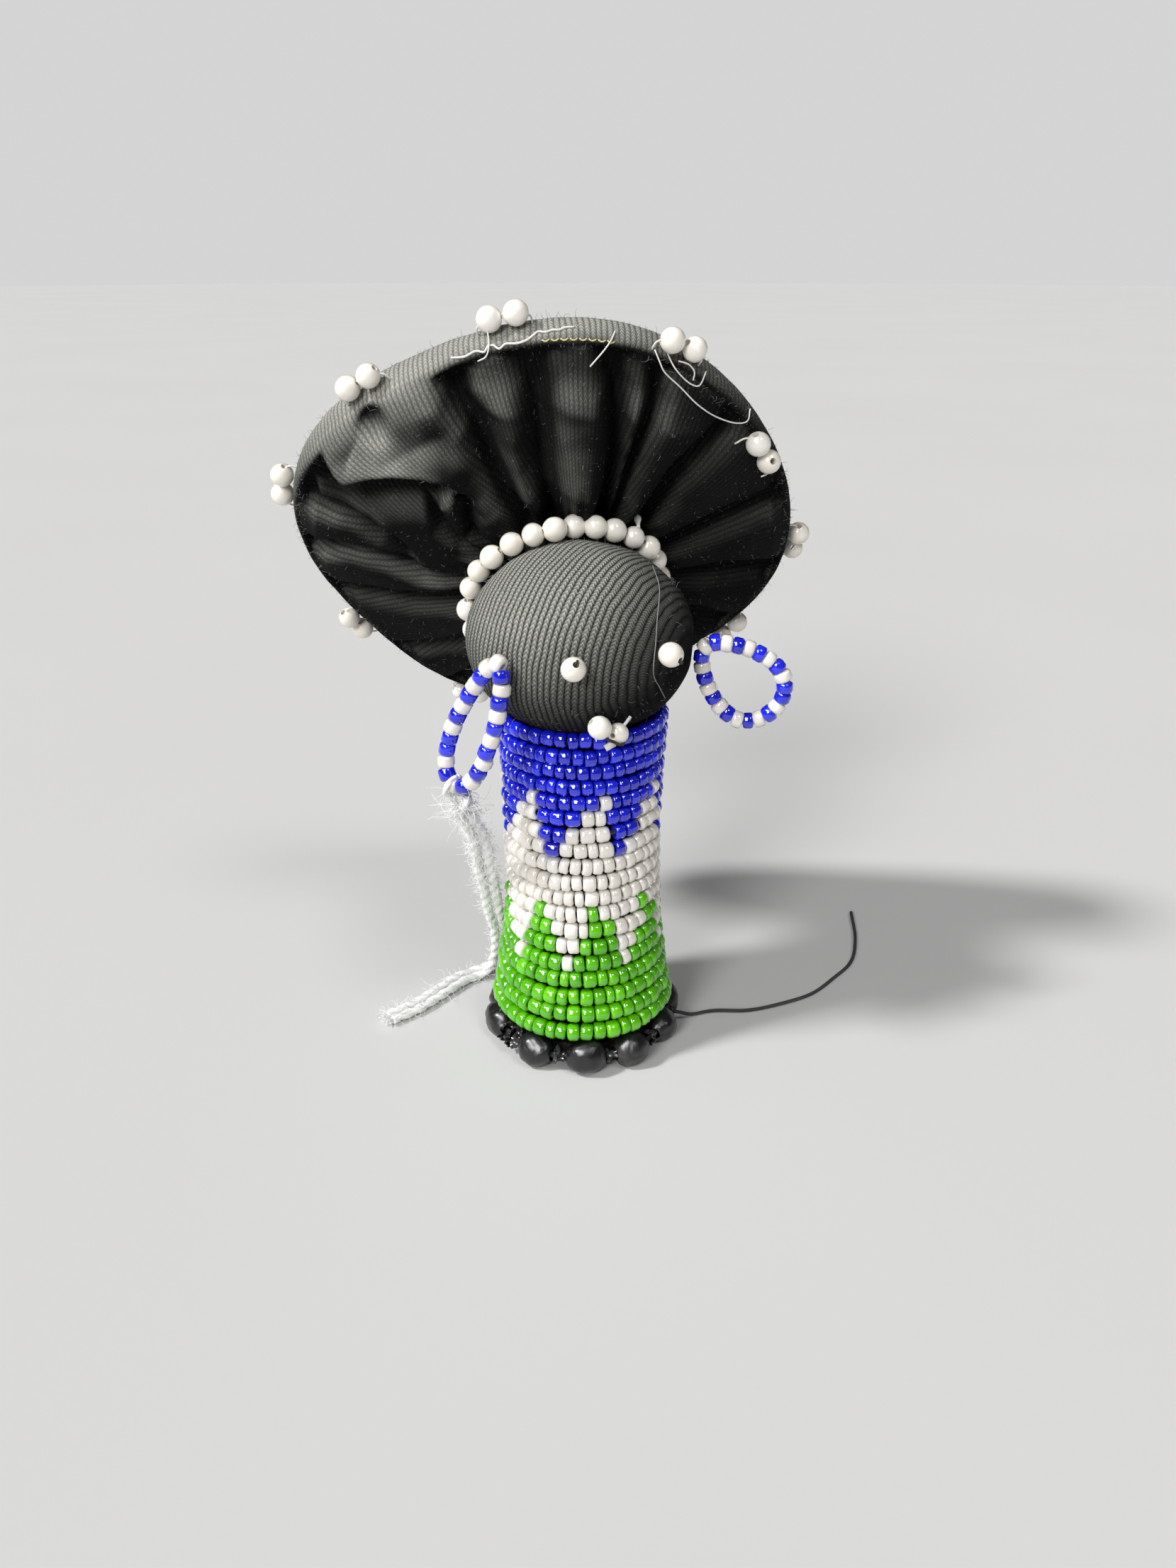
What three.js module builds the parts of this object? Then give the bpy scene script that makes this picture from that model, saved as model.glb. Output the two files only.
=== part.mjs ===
// A standing beaded doll: a stuffed jersey body sheathed in rows of threaded seed beads, a ring of
// large foot beads, a stuffed head with a pearl face and a wide disc hat gathered at the head.
// Millimetres, +Z up. The origin is on the body's axis at the floor, and the face looks along -Y.
import * as THREE from "three";

// Clearances
const CLEARANCE = 0.3; // between pieces that touch
const ROW_GAP = 0.15; // between one threaded row and the next

// Seed beads of the body and the earrings
const BLUE_BEAD = 2.0; // diameter
const WHITE_BEAD = 2.15;
const GREEN_BEAD = 2.3;
const SEED_THREAD_RADIUS = 0.5; // the waist between two beads on a thread

// Stuffed body
const CORE_TOP_RADIUS = 8.85;
const CORE_WAIST_RADIUS = 8.1;
const CORE_FOOT_RADIUS = 10.35;
const CORE_STUB_RADIUS = 8.2; // drawn in at the floor, behind the foot beads
const WAIST_HEIGHT = 26;
const SLEEVE_THICKNESS = 0.8;
const SOLE_THICKNESS = 1.5;

// Foot beads, threaded on one ring
const FOOT_BEAD_ANGLES = [
  -107.4, -76.5, -40.4, -9.7, 21, 51.7, 82.4, 113.1, 143.8, 174.5, 217.1,
]; // round from +X, in degrees
const FOOT_BEAD_RADIUS = 2.4;
const FOOT_FLARE_ROOM = 1; // between the stub and the beads, where the core opens out above
const FOOT_BEAD_LENGTH = 5.3;
const FOOT_BEAD_HOLE_RADIUS = 0.9;
const FOOT_THREAD_RADIUS = 0.4;
const FOOT_BEAD_SIDES = 8;
const FOOT_BEAD_VARIETY = 0.05; // share by which one bead is smaller than the next

// Head
const HEAD_OFFSET_X = -0.48;
const HEAD_OFFSET_Y = -0.86;
const HEAD_RADIUS = 14.2;
const HEAD_RISE = 11.8; // from its widest level to its crown
const HEAD_DROP = 11.83; // from its widest level to the foot of its curve
const HEAD_CLOTH = 0.9;
const NECK_SEAT = 1.0; // how far the neck reaches down inside the top bead row
const NECK_LENGTH = 1.0;

// Pearls
const EYE_PEARL_RADIUS = 1.5;
const EYE_HOLE_RADIUS = 0.4;
const MOUTH_PEARL_RADIUS = 1.4;
const BAND_PEARL_RADIUS = 1.48;
const RIM_PEARL_RADIUS = 1.5;
const PEARL_THREAD_RADIUS = 0.4;

// Places on the head, in degrees: longitude from the face towards +X, latitude from its widest level
const EYE_LEFT_AT = [21.5, 6.6];
const EYE_RIGHT_AT = [-23, 4.8];
const MOUTH_AT = [-5.8, -32.1];
const MOUTH_TILT = -34; // from level, seen from the front
const EAR_LEFT_AT = [60.6, -1.6];
const EAR_RIGHT_AT = [-57.6, 3];

// Pearl band and gathered neck of the hat: cones about an axis through the middle of the head
const BAND_ELEVATION = 26.5;
const BAND_AZIMUTH = 7.4; // from straight back towards +X
const BAND_ANGLE = 53.5;
const BAND_PEARLS = 25;
const GATHER_EDGE_ANGLE = 38;
const GATHER_LINING_ANGLE = 27;

// Hat: cloth drawn over a stiff disc
const HAT_RADIUS = 31.4;
const HAT_WAVES = [
  [3, -0.75, -0.06],
  [4, 0.55, 0.75],
]; // the board is cut out of round: waves round it, and how high each is from the top and the side
const HAT_RIM_WIDTH = 4.3;
const HAT_RIM_BULGE = 0.5;
const HAT_CROWN_RISE = 0.6;
const HAT_CLOTH = 0.9;
const HAT_BOARD_THICKNESS = 1.6;
const HAT_ELEVATION = 32.2; // of the axis, which leans back and up
const HAT_AZIMUTH = 17.3;
const HAT_REACH = [1.13, 15.46, 8.48]; // from the middle of the head to the middle of the rim
const GATHERS = 18;
const GATHER_DEPTH = 1.7;
const HAT_DIVISIONS = 72;

// Pearl pairs on the rim: degrees from the top of the hat towards +X, and how far the pair is behind
// the front edge of the rim, or before it
const RIM_PAIRS = [
  [-160, 1],
  [-119.7, 0.4],
  [-77.6, 3.6],
  [-41.5, 1.3],
  [-9, 2.9],
  [27, 0.8],
  [57.7, -1.75],
  [95.2, 3.2],
  [125, 1],
  [162, 1],
];

// Earrings: loops of seed beads that hang from a stitch at each ear
const EARRING_BEAD = 2.1;
const EARRING_LEFT_BEADS = 23;
const EARRING_LEFT_LENGTH = 11.7;
const EARRING_LEFT_WIDTH = 8.3;
const EARRING_LEFT_SLOPE = -41.9; // from level, along the outward direction
const EARRING_RIGHT_BEADS = 24;
const EARRING_RIGHT_LENGTH = 17;
const EARRING_RIGHT_WIDTH = 5.5;
const EARRING_RIGHT_OUT = 8.5; // lean from plumb, away from the head
const EARRING_RIGHT_BACK = 19.9; // lean from plumb, towards the back
const EARRING_TAPER = 0.32; // how much narrower the loop is near its stitch

// White string, tied to the right earring and laid on the floor
const STRING_RADIUS = 0.6;
const STRING_SPREAD = 0.8; // from the middle of the pair to each strand
const STRING_STEPS = 24;
const KNOT_RADIUS = 1.2;
const KNOT_SIDE = [0.43, -0.16]; // how far to the body's side of plumb it sits, for each unit down
const STRING_ROUTE = [
  [-15.1, -2.9, 33.3],
  [-13.3, 1.4, 26.5],
  [-11.8, 4.5, 21],
  [-10.6, 7.3, 16],
  [-8.9, 10.5, 10.7],
  [-8.3, 13.3, 5.6],
  [-9, 15.4, 2],
  [-10.8, 16.2, 0.75],
  [-14, 15.3, 0.75],
  [-18.1, 12.8, 0.75],
  [-22.1, 10.5, 0.75],
  [-26.2, 9.2, 0.75],
];

// Tail of the foot thread, lying on the floor
const TAIL_RADIUS = 0.25;
const TAIL_STEPS = 24;
const TAIL_ROUTE = [
  [11.6, -5.42, 2.1],
  [12.9, -5.4, 1.6],
  [14.9, -5, 0.5],
  [18.3, -5.1, 0.35],
  [23.2, -6.8, 0.35],
  [28.9, -7.0, 0.35],
  [34.1, -6.3, 0.35],
  [39.3, -3.8, 0.35],
  [44.2, -0.8, 0.35],
  [48.5, 4.8, 0.35],
  [52.5, 12.5, 0.35],
];

const JERSEY = 0x1d1c1e;
const BLUE = 0x1638b8;
const WHITE = 0xf1efe8;
const GREEN = 0x1d8f3c;
const PEARL = 0xf2ead6;

const doll = new THREE.Group();

function addPiece(name, geometry, colour, roughness) {
  const material = new THREE.MeshStandardMaterial({ color: colour, roughness, metalness: 0 });
  const mesh = new THREE.Mesh(geometry, material);
  mesh.name = name;
  doll.add(mesh);
  return mesh;
}

const radians = THREE.MathUtils.degToRad;
const numbered = (stem, index) => `${stem}_${String(index + 1).padStart(2, "0")}`;

// Skin over rings of equal count. A closed skin runs from the last ring back to the first, and any
// other is shut by a pole at each end.
function loft(rings, firstPole, lastPole) {
  const sides = rings[0].length;
  const points = rings.flat();
  const faces = [];
  const bands = firstPole ? rings.length - 1 : rings.length;
  for (let ring = 0; ring < bands; ring++) {
    const here = ring * sides;
    const next = ((ring + 1) % rings.length) * sides;
    for (let side = 0; side < sides; side++) {
      const turn = (side + 1) % sides;
      faces.push(here + side, here + turn, next + side);
      faces.push(here + turn, next + turn, next + side);
    }
  }
  if (firstPole) {
    const first = points.push(firstPole) - 1;
    const last = points.push(lastPole) - 1;
    const end = (rings.length - 1) * sides;
    for (let side = 0; side < sides; side++) {
      const turn = (side + 1) % sides;
      faces.push(first, turn, side);
      faces.push(last, end + side, end + turn);
    }
  }
  const geometry = new THREE.BufferGeometry().setFromPoints(points);
  return geometry.setIndex(faces);
}

// Beads on a closed thread. The path takes a share of the loop and gives a point, and the hub is a
// point inside the loop. Each ring of a bead is its place along the bead and its share of the radius,
// and its section is a list of corners, out from the hub and across, in radii.
const FACETED_BEAD = [
  [0, 1],
  [0.5, 0],
];
const ROUND_BEAD = [
  [-0.2, 0.92],
  [0.2, 0.92],
  [0.5, 0],
];
const FLAT_FRONTED = [
  [0.8, 0.95],
  [-1, 0],
  [0.8, -0.95],
];

function evenSided(sides) {
  return Array.from({ length: sides }, (_, side) => {
    const angle = (2 * Math.PI * side) / sides;
    return [Math.cos(angle), Math.sin(angle)];
  });
}

function threadedLoop(path, hub, beads, bead) {
  const nudge = 1e-3;
  const rings = [];
  for (let index = 0; index < beads; index++) {
    for (const [place, share] of bead.rings) {
      const at = (index + place + 1) / beads;
      const middle = path(at);
      const along = path(at + nudge).sub(path(at - nudge)).normalize();
      const outward = middle.clone().sub(hub);
      outward.addScaledVector(along, -outward.dot(along)).normalize();
      const across = along.clone().cross(outward);
      const radius = THREE.MathUtils.lerp(bead.threadRadius, bead.radius, share);
      const ring = bead.section.map(([out, side]) =>
        middle
          .clone()
          .addScaledVector(outward, radius * out)
          .addScaledVector(across, radius * side),
      );
      rings.push(ring);
    }
  }
  return loft(rings);
}

// Half outline of a bead from one end of its hole to the other, about the lathe's Y axis.
function beadArc(radius, halfLength, holeRadius, steps, middle = 0) {
  const end = Math.acos(holeRadius / radius);
  const points = [];
  for (let step = 0; step <= steps; step++) {
    const angle = -end + (2 * end * step) / steps;
    points.push(
      new THREE.Vector2(radius * Math.cos(angle), middle + halfLength * Math.sin(angle)),
    );
  }
  return points;
}

// Two pearls side by side on one thread.
function pearlPair(radius, sides, steps) {
  const spacing = radius + CLEARANCE / 2;
  const lower = beadArc(radius, radius, PEARL_THREAD_RADIUS, steps, -spacing);
  const upper = beadArc(radius, radius, PEARL_THREAD_RADIUS, steps, spacing);
  const axisPoint = (end) => new THREE.Vector2(0, end.y);
  const outline = [axisPoint(lower[0]), ...lower, ...upper, axisPoint(upper.at(-1))];
  return new THREE.LatheGeometry(outline, sides);
}

// Body: the outline of the stuffed core narrows from the foot to the waist and opens to the top.
const footTop = 2 * FOOT_BEAD_RADIUS;

const rowSizes = [
  ...Array(5).fill({ beads: 42, diameter: BLUE_BEAD, colour: BLUE }),
  { beads: 35, diameter: (BLUE_BEAD + WHITE_BEAD) / 2, colour: BLUE },
  ...Array(2).fill({ beads: 35, diameter: (BLUE_BEAD + WHITE_BEAD) / 2, colour: WHITE }),
  ...Array(3).fill({ beads: 42, diameter: WHITE_BEAD, colour: WHITE }),
  ...Array(2).fill({ beads: 40, diameter: (WHITE_BEAD + GREEN_BEAD) / 2, colour: WHITE }),
  ...Array(2).fill({ beads: 40, diameter: (WHITE_BEAD + GREEN_BEAD) / 2, colour: GREEN }),
  ...Array(4).fill({ beads: 43, diameter: GREEN_BEAD, colour: GREEN }),
];

let rowBottom = footTop + ROW_GAP;
const rows = rowSizes
  .toReversed()
  .map((size) => {
    const height = rowBottom + size.diameter / 2;
    rowBottom += size.diameter + ROW_GAP;
    return { ...size, height };
  })
  .toReversed();
const topRow = rows[0];
const bodyTop = topRow.height - NECK_SEAT;
const coreBottom = SOLE_THICKNESS + CLEARANCE;

function coreRadius(height) {
  if (height < footTop) return CORE_STUB_RADIUS;
  const above = height > WAIST_HEIGHT;
  const end = above ? bodyTop : footTop;
  const endRadius = above ? CORE_TOP_RADIUS : CORE_FOOT_RADIUS;
  const share = (height - WAIST_HEIGHT) / (end - WAIST_HEIGHT);
  return THREE.MathUtils.lerp(CORE_WAIST_RADIUS, endRadius, share * share);
}

const coreLevels = [0, 0.03, 0.07, 0.25, 0.55, 0.8, 1].map((share) =>
  THREE.MathUtils.lerp(coreBottom, bodyTop, share),
);

// Lathe outlines here are drawn about Y, so each turned piece is stood up on Z.
function addTurned(name, outline, sides, colour, roughness) {
  const piece = addPiece(name, new THREE.LatheGeometry(outline, sides), colour, roughness);
  piece.rotation.x = Math.PI / 2;
  return piece;
}

function addSole() {
  const geometry = new THREE.CylinderGeometry(CORE_STUB_RADIUS, CORE_STUB_RADIUS, SOLE_THICKNESS, 24);
  const sole = addPiece("sole", geometry, 0x2a2522, 0.9);
  sole.rotation.x = Math.PI / 2;
  sole.position.z = SOLE_THICKNESS / 2;
}

function addBody() {
  const outer = coreLevels.map((z) => new THREE.Vector2(coreRadius(z), z));
  const inner = coreLevels.map((z) => new THREE.Vector2(coreRadius(z) - SLEEVE_THICKNESS, z));
  addTurned("body_sleeve", [...outer, ...inner.toReversed(), outer[0]], 20, JERSEY, 0.95);
  const lining = SLEEVE_THICKNESS + CLEARANCE;
  const core = coreLevels.map((z) => new THREE.Vector2(coreRadius(z) - lining, z));
  const foot = new THREE.Vector2(0, coreBottom);
  const top = new THREE.Vector2(0, bodyTop);
  addTurned("body_core", [foot, ...core, top], 16, 0xcfc6b4, 1);
}

function addBeadRows() {
  rows.forEach((row, index) => {
    const beadRadius = row.diameter / 2;
    const ringRadius = coreRadius(row.height) + CLEARANCE + beadRadius;
    const halfBead = index % 2 ? 0.5 / row.beads : 0;
    const path = (share) => {
      const angle = 2 * Math.PI * (share + halfBead);
      return new THREE.Vector3(
        ringRadius * Math.cos(angle),
        ringRadius * Math.sin(angle),
        row.height,
      );
    };
    const bead = {
      radius: beadRadius,
      threadRadius: SEED_THREAD_RADIUS,
      section: FLAT_FRONTED,
      rings: FACETED_BEAD,
    };
    const hub = new THREE.Vector3(0, 0, row.height);
    addPiece(numbered("bead_row", index), threadedLoop(path, hub, row.beads, bead), row.colour, 0.2);
  });
}

function addFootBeads() {
  const chord = CORE_STUB_RADIUS + FOOT_FLARE_ROOM + FOOT_BEAD_RADIUS;
  const angles = FOOT_BEAD_ANGLES.map(radians);
  const flat = Math.cos(Math.PI / FOOT_BEAD_SIDES);
  const outline = beadArc(FOOT_BEAD_RADIUS, FOOT_BEAD_LENGTH / 2, FOOT_BEAD_HOLE_RADIUS, 4);
  outline.push(outline[0]);
  const halfFacet = Math.PI / FOOT_BEAD_SIDES;
  const threadHeight = FOOT_BEAD_RADIUS * flat;
  angles.forEach((angle, index) => {
    const bead = addPiece(
      numbered("foot_bead", index),
      new THREE.LatheGeometry(outline, FOOT_BEAD_SIDES, halfFacet),
      0x141416,
      0.25,
    );
    const size = 1 - FOOT_BEAD_VARIETY * (index % 3);
    bead.scale.setScalar(size);
    bead.rotation.z = angle;
    bead.position.set(chord * Math.cos(angle), chord * Math.sin(angle), threadHeight * size);
  });
  const rings = angles.map((angle, index) => {
    const next = angles[index + 1] ?? angles[0] + 2 * Math.PI;
    const halfAngle = (next - angle) / 2;
    const corner = chord / Math.cos(halfAngle);
    const turn = angle + halfAngle;
    const outward = new THREE.Vector3(Math.cos(turn), Math.sin(turn), 0);
    return [
      [FOOT_THREAD_RADIUS, 0],
      [0, FOOT_THREAD_RADIUS],
      [-FOOT_THREAD_RADIUS, 0],
      [0, -FOOT_THREAD_RADIUS],
    ].map(([out, up]) => {
      const point = outward.clone().multiplyScalar(corner + out);
      point.z = threadHeight * (1 - FOOT_BEAD_VARIETY) - up;
      return point;
    });
  });
  addPiece("foot_thread", loft(rings), JERSEY, 0.9);
}

// Head: rounder above its widest level than below, with a short neck inside the top bead row.
const neckRadius = CORE_TOP_RADIUS - Math.hypot(HEAD_OFFSET_X, HEAD_OFFSET_Y);
const neckBottom = bodyTop + CLEARANCE;
const neckLatitude = -Math.acos(neckRadius / HEAD_RADIUS);
const headHeight = neckBottom + NECK_LENGTH - HEAD_DROP * Math.sin(neckLatitude);
const headMiddle = new THREE.Vector3(HEAD_OFFSET_X, HEAD_OFFSET_Y, headHeight);

const headRise = (upward) => (upward > 0 ? HEAD_RISE : HEAD_DROP);

// A point on the head, lifted off it along its own normal, with that normal.
function onHead(direction, lift) {
  const rise = headRise(direction.z);
  const flat = Math.hypot(direction.x, direction.y) / HEAD_RADIUS;
  const reach = 1 / Math.hypot(flat, direction.z / rise);
  const point = direction.clone().multiplyScalar(reach);
  const normal = new THREE.Vector3(
    point.x / HEAD_RADIUS ** 2,
    point.y / HEAD_RADIUS ** 2,
    point.z / rise ** 2,
  ).normalize();
  return { point: point.add(headMiddle).addScaledVector(normal, lift), normal };
}

function headDirection([longitude, latitude]) {
  const turn = radians(longitude);
  const level = radians(latitude);
  const direction = new THREE.Vector3(
    HEAD_RADIUS * Math.cos(level) * Math.sin(turn),
    -HEAD_RADIUS * Math.cos(level) * Math.cos(turn),
    headRise(level) * Math.sin(level),
  );
  return direction.normalize();
}

// The head's outline from its neck to its crown, drawn in by an inset.
function headOutline(inset, levels) {
  const outline = [];
  for (let level = 0; level < levels; level++) {
    const latitude = THREE.MathUtils.lerp(neckLatitude, Math.PI / 2, level / levels);
    const radius = (HEAD_RADIUS - inset) * Math.cos(latitude);
    const height = headHeight + (headRise(latitude) - inset) * Math.sin(latitude);
    outline.push(new THREE.Vector2(radius, height));
  }
  outline[0].x = neckRadius - inset;
  const neck = new THREE.Vector2(neckRadius - inset, neckBottom);
  const crown = new THREE.Vector2(0, headHeight + HEAD_RISE - inset);
  return [neck, ...outline, crown];
}

function addHead() {
  const outer = headOutline(0, 9);
  const inner = headOutline(HEAD_CLOTH, 6);
  const cover = addTurned("head_cover", [...inner.toReversed(), ...outer], 24, JERSEY, 0.95);
  const stuffing = headOutline(HEAD_CLOTH + CLEARANCE, 6);
  const foot = new THREE.Vector2(0, neckBottom);
  const filling = addTurned("head_stuffing", [foot, ...stuffing], 16, 0xd8d0c0, 1);
  for (const piece of [cover, filling]) {
    piece.position.set(HEAD_OFFSET_X, HEAD_OFFSET_Y, 0);
  }
}

// Turn a piece made about the Y axis so that its axis lies along a direction.
function pointAlong(piece, direction) {
  piece.quaternion.setFromUnitVectors(new THREE.Vector3(0, 1, 0), direction);
}

function addFace() {
  const outline = beadArc(EYE_PEARL_RADIUS, EYE_PEARL_RADIUS, EYE_HOLE_RADIUS, 5);
  outline.push(outline[0]);
  for (const [name, place] of [
    ["eye_left", EYE_LEFT_AT],
    ["eye_right", EYE_RIGHT_AT],
  ]) {
    const { point, normal } = onHead(headDirection(place), EYE_PEARL_RADIUS + CLEARANCE / 2);
    const eye = addPiece(name, new THREE.LatheGeometry(outline, 8), PEARL, 0.3);
    pointAlong(eye, normal);
    eye.position.copy(point);
  }
  const { point, normal } = onHead(headDirection(MOUTH_AT), MOUTH_PEARL_RADIUS + CLEARANCE);
  const mouth = addPiece("mouth_pearls", pearlPair(MOUTH_PEARL_RADIUS, 8, 4), PEARL, 0.3);
  const level = new THREE.Vector3(0, 0, 1).cross(normal).normalize();
  pointAlong(mouth, level.applyAxisAngle(normal, radians(MOUTH_TILT)));
  mouth.position.copy(point);
}

// An axis with its own right and up, for what is set out in a circle about it.
function frameAbout(elevation, azimuth) {
  const axis = new THREE.Vector3(
    Math.cos(radians(elevation)) * Math.sin(radians(azimuth)),
    Math.cos(radians(elevation)) * Math.cos(radians(azimuth)),
    Math.sin(radians(elevation)),
  );
  const right = axis.clone().cross(new THREE.Vector3(0, 0, 1)).normalize();
  const up = right.clone().cross(axis);
  const around = (angle) =>
    right.clone().multiplyScalar(Math.sin(angle)).addScaledVector(up, Math.cos(angle));
  return { axis, around };
}

const band = frameAbout(BAND_ELEVATION, BAND_AZIMUTH);
const hat = frameAbout(HAT_ELEVATION, HAT_AZIMUTH);
const hatMiddle = headMiddle.clone().add(new THREE.Vector3(...HAT_REACH));

function bandPoint(angle, spread, lift) {
  const direction = band.axis
    .clone()
    .multiplyScalar(Math.cos(radians(spread)))
    .addScaledVector(band.around(angle), Math.sin(radians(spread)));
  return onHead(direction, lift).point;
}

function rimPoint(angle, radius, depth) {
  let wave = 0;
  for (const [count, top, side] of HAT_WAVES) {
    wave += top * Math.cos(count * angle) + side * Math.sin(count * angle);
  }
  return hatMiddle
    .clone()
    .addScaledVector(hat.around(angle), radius * (1 + wave / HAT_RADIUS))
    .addScaledVector(hat.axis, depth);
}

function addHeadBand() {
  const path = (share) =>
    bandPoint(2 * Math.PI * share, BAND_ANGLE, BAND_PEARL_RADIUS + CLEARANCE);
  const bead = {
    radius: BAND_PEARL_RADIUS,
    threadRadius: PEARL_THREAD_RADIUS,
    section: evenSided(6),
    rings: ROUND_BEAD,
  };
  const geometry = threadedLoop(path, headMiddle, BAND_PEARLS, bead);
  addPiece("head_band", geometry, PEARL, 0.3);
}

// The depth of a gather: full near the head and gone at the rim, where the cloth is taut.
function gatherDepth(angle, share) {
  const wander = 0.9 * Math.sin(3 * angle);
  const fold = Math.cos(GATHERS * angle + wander) / 2;
  return GATHER_DEPTH * fold * 6.75 * share * (1 - share) ** 2;
}

function addHat() {
  const angles = Array.from(
    { length: HAT_DIVISIONS },
    (_, index) => (2 * Math.PI * index) / HAT_DIVISIONS,
  );
  const rimRing = (radius, depth) => angles.map((angle) => rimPoint(angle, radius, depth));
  const gatherRing = (share) =>
    angles.map((angle) =>
      bandPoint(angle, GATHER_EDGE_ANGLE, CLEARANCE)
        .lerp(rimPoint(angle, HAT_RADIUS, 0), share)
        .addScaledVector(hat.axis, -gatherDepth(angle, share)),
    );
  const lining = HAT_RADIUS - HAT_CLOTH;
  const back = HAT_RIM_WIDTH - HAT_CLOTH;
  const rings = [
    rimRing(lining, back),
    rimRing(lining, HAT_CLOTH),
    angles.map((angle) => bandPoint(angle, GATHER_LINING_ANGLE, CLEARANCE)),
    gatherRing(0),
    gatherRing(0.14),
    gatherRing(0.3),
    gatherRing(0.5),
    gatherRing(0.75),
    rimRing(HAT_RADIUS, 0),
    rimRing(HAT_RADIUS + HAT_RIM_BULGE, HAT_RIM_WIDTH / 2),
    rimRing(HAT_RADIUS, HAT_RIM_WIDTH),
  ];
  const crown = rimPoint(0, 0, HAT_RIM_WIDTH + HAT_CROWN_RISE);
  addPiece("hat_cover", loft(rings, rimPoint(0, 0, back), crown), JERSEY, 0.95);

  const boardRadius = lining - CLEARANCE;
  const boardBack = back - CLEARANCE;
  const boardFront = boardBack - HAT_BOARD_THICKNESS;
  const sides = [rimRing(boardRadius, boardFront), rimRing(boardRadius, boardBack)];
  const board = loft(sides, rimPoint(0, 0, boardFront), rimPoint(0, 0, boardBack));
  addPiece("hat_board", board, 0x8a7656, 0.9);
}

// Each pair is sewn to the edge of the rim. One before the front edge sits on its corner.
function addRimPearls() {
  const reach = RIM_PEARL_RADIUS + CLEARANCE;
  RIM_PAIRS.forEach(([turn, depth], index) => {
    const angle = radians(turn);
    const onCorner = Math.sqrt(reach ** 2 - Math.min(depth, 0) ** 2);
    const radius = HAT_RADIUS + onCorner + (depth > 0 ? HAT_RIM_BULGE : 0);
    const pair = addPiece(
      numbered("rim_pearl_pair", index),
      pearlPair(RIM_PEARL_RADIUS, 6, 4),
      PEARL,
      0.3,
    );
    pointAlong(pair, hat.around(angle + Math.PI / 2));
    pair.position.copy(rimPoint(angle, radius, depth));
  });
}

// A hanging loop: from its stitch along one direction and back, as wide as given across it.
function earringPath(stitch, along, across, length, width) {
  return (share) => {
    const angle = 2 * Math.PI * share;
    const taper = 1 - EARRING_TAPER * Math.cos(angle);
    return stitch
      .clone()
      .addScaledVector(along, (length / 2) * (1 - Math.cos(angle)))
      .addScaledVector(across, (width / 2) * Math.sin(angle) * taper);
  };
}

function addEarring(name, beads, stitch, along, across, length, width) {
  const bead = {
    radius: EARRING_BEAD / 2,
    threadRadius: SEED_THREAD_RADIUS,
    section: evenSided(5),
    rings: ROUND_BEAD,
  };
  const hub = stitch.clone().addScaledVector(along, length / 2);
  const path = earringPath(stitch, along, across, length, width);
  addPiece(name, threadedLoop(path, hub, beads, bead), WHITE, 0.2);
}

// The outward and backward directions at an ear, level with the floor.
function earDirections([longitude]) {
  const turn = radians(longitude);
  const out = new THREE.Vector3(Math.sin(turn), -Math.cos(turn), 0);
  const back = new THREE.Vector3(0, 0, Math.sign(longitude)).cross(out);
  return { out, back };
}

const down = new THREE.Vector3(0, 0, -1);
const earLift = EARRING_BEAD / 2 + CLEARANCE;
const rightStitch = onHead(headDirection(EAR_RIGHT_AT), earLift).point;
const rightEar = earDirections(EAR_RIGHT_AT);
const rightAlong = down
  .clone()
  .addScaledVector(rightEar.out, Math.tan(radians(EARRING_RIGHT_OUT)))
  .addScaledVector(rightEar.back, Math.tan(radians(EARRING_RIGHT_BACK)))
  .normalize();

function addEarrings() {
  const leftStitch = onHead(headDirection(EAR_LEFT_AT), earLift).point;
  const leftEar = earDirections(EAR_LEFT_AT);
  const slope = radians(EARRING_LEFT_SLOPE);
  const leftAlong = leftEar.out.clone().multiplyScalar(Math.cos(slope));
  leftAlong.z = Math.sin(slope);
  const leftAcross = leftAlong.clone().cross(leftEar.back);
  addEarring(
    "earring_left",
    EARRING_LEFT_BEADS,
    leftStitch,
    leftAlong,
    leftAcross,
    EARRING_LEFT_LENGTH,
    EARRING_LEFT_WIDTH,
  );
  const rightAcross = rightEar.out.clone().cross(rightAlong).normalize();
  addEarring(
    "earring_right",
    EARRING_RIGHT_BEADS,
    rightStitch,
    rightAlong,
    rightAcross,
    EARRING_RIGHT_LENGTH,
    EARRING_RIGHT_WIDTH,
  );
}

// A tube of eight sides along a route of points.
function cordTube(points, radius, steps) {
  const section = new THREE.Shape();
  for (let side = 0; side < 8; side++) {
    const angle = (2 * Math.PI * side) / 8;
    const corner = [radius * Math.cos(angle), radius * Math.sin(angle)];
    if (side) section.lineTo(...corner);
    else section.moveTo(...corner);
  }
  const extrudePath = new THREE.CatmullRomCurve3(points);
  return new THREE.ExtrudeGeometry(section, { steps, extrudePath });
}

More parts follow.
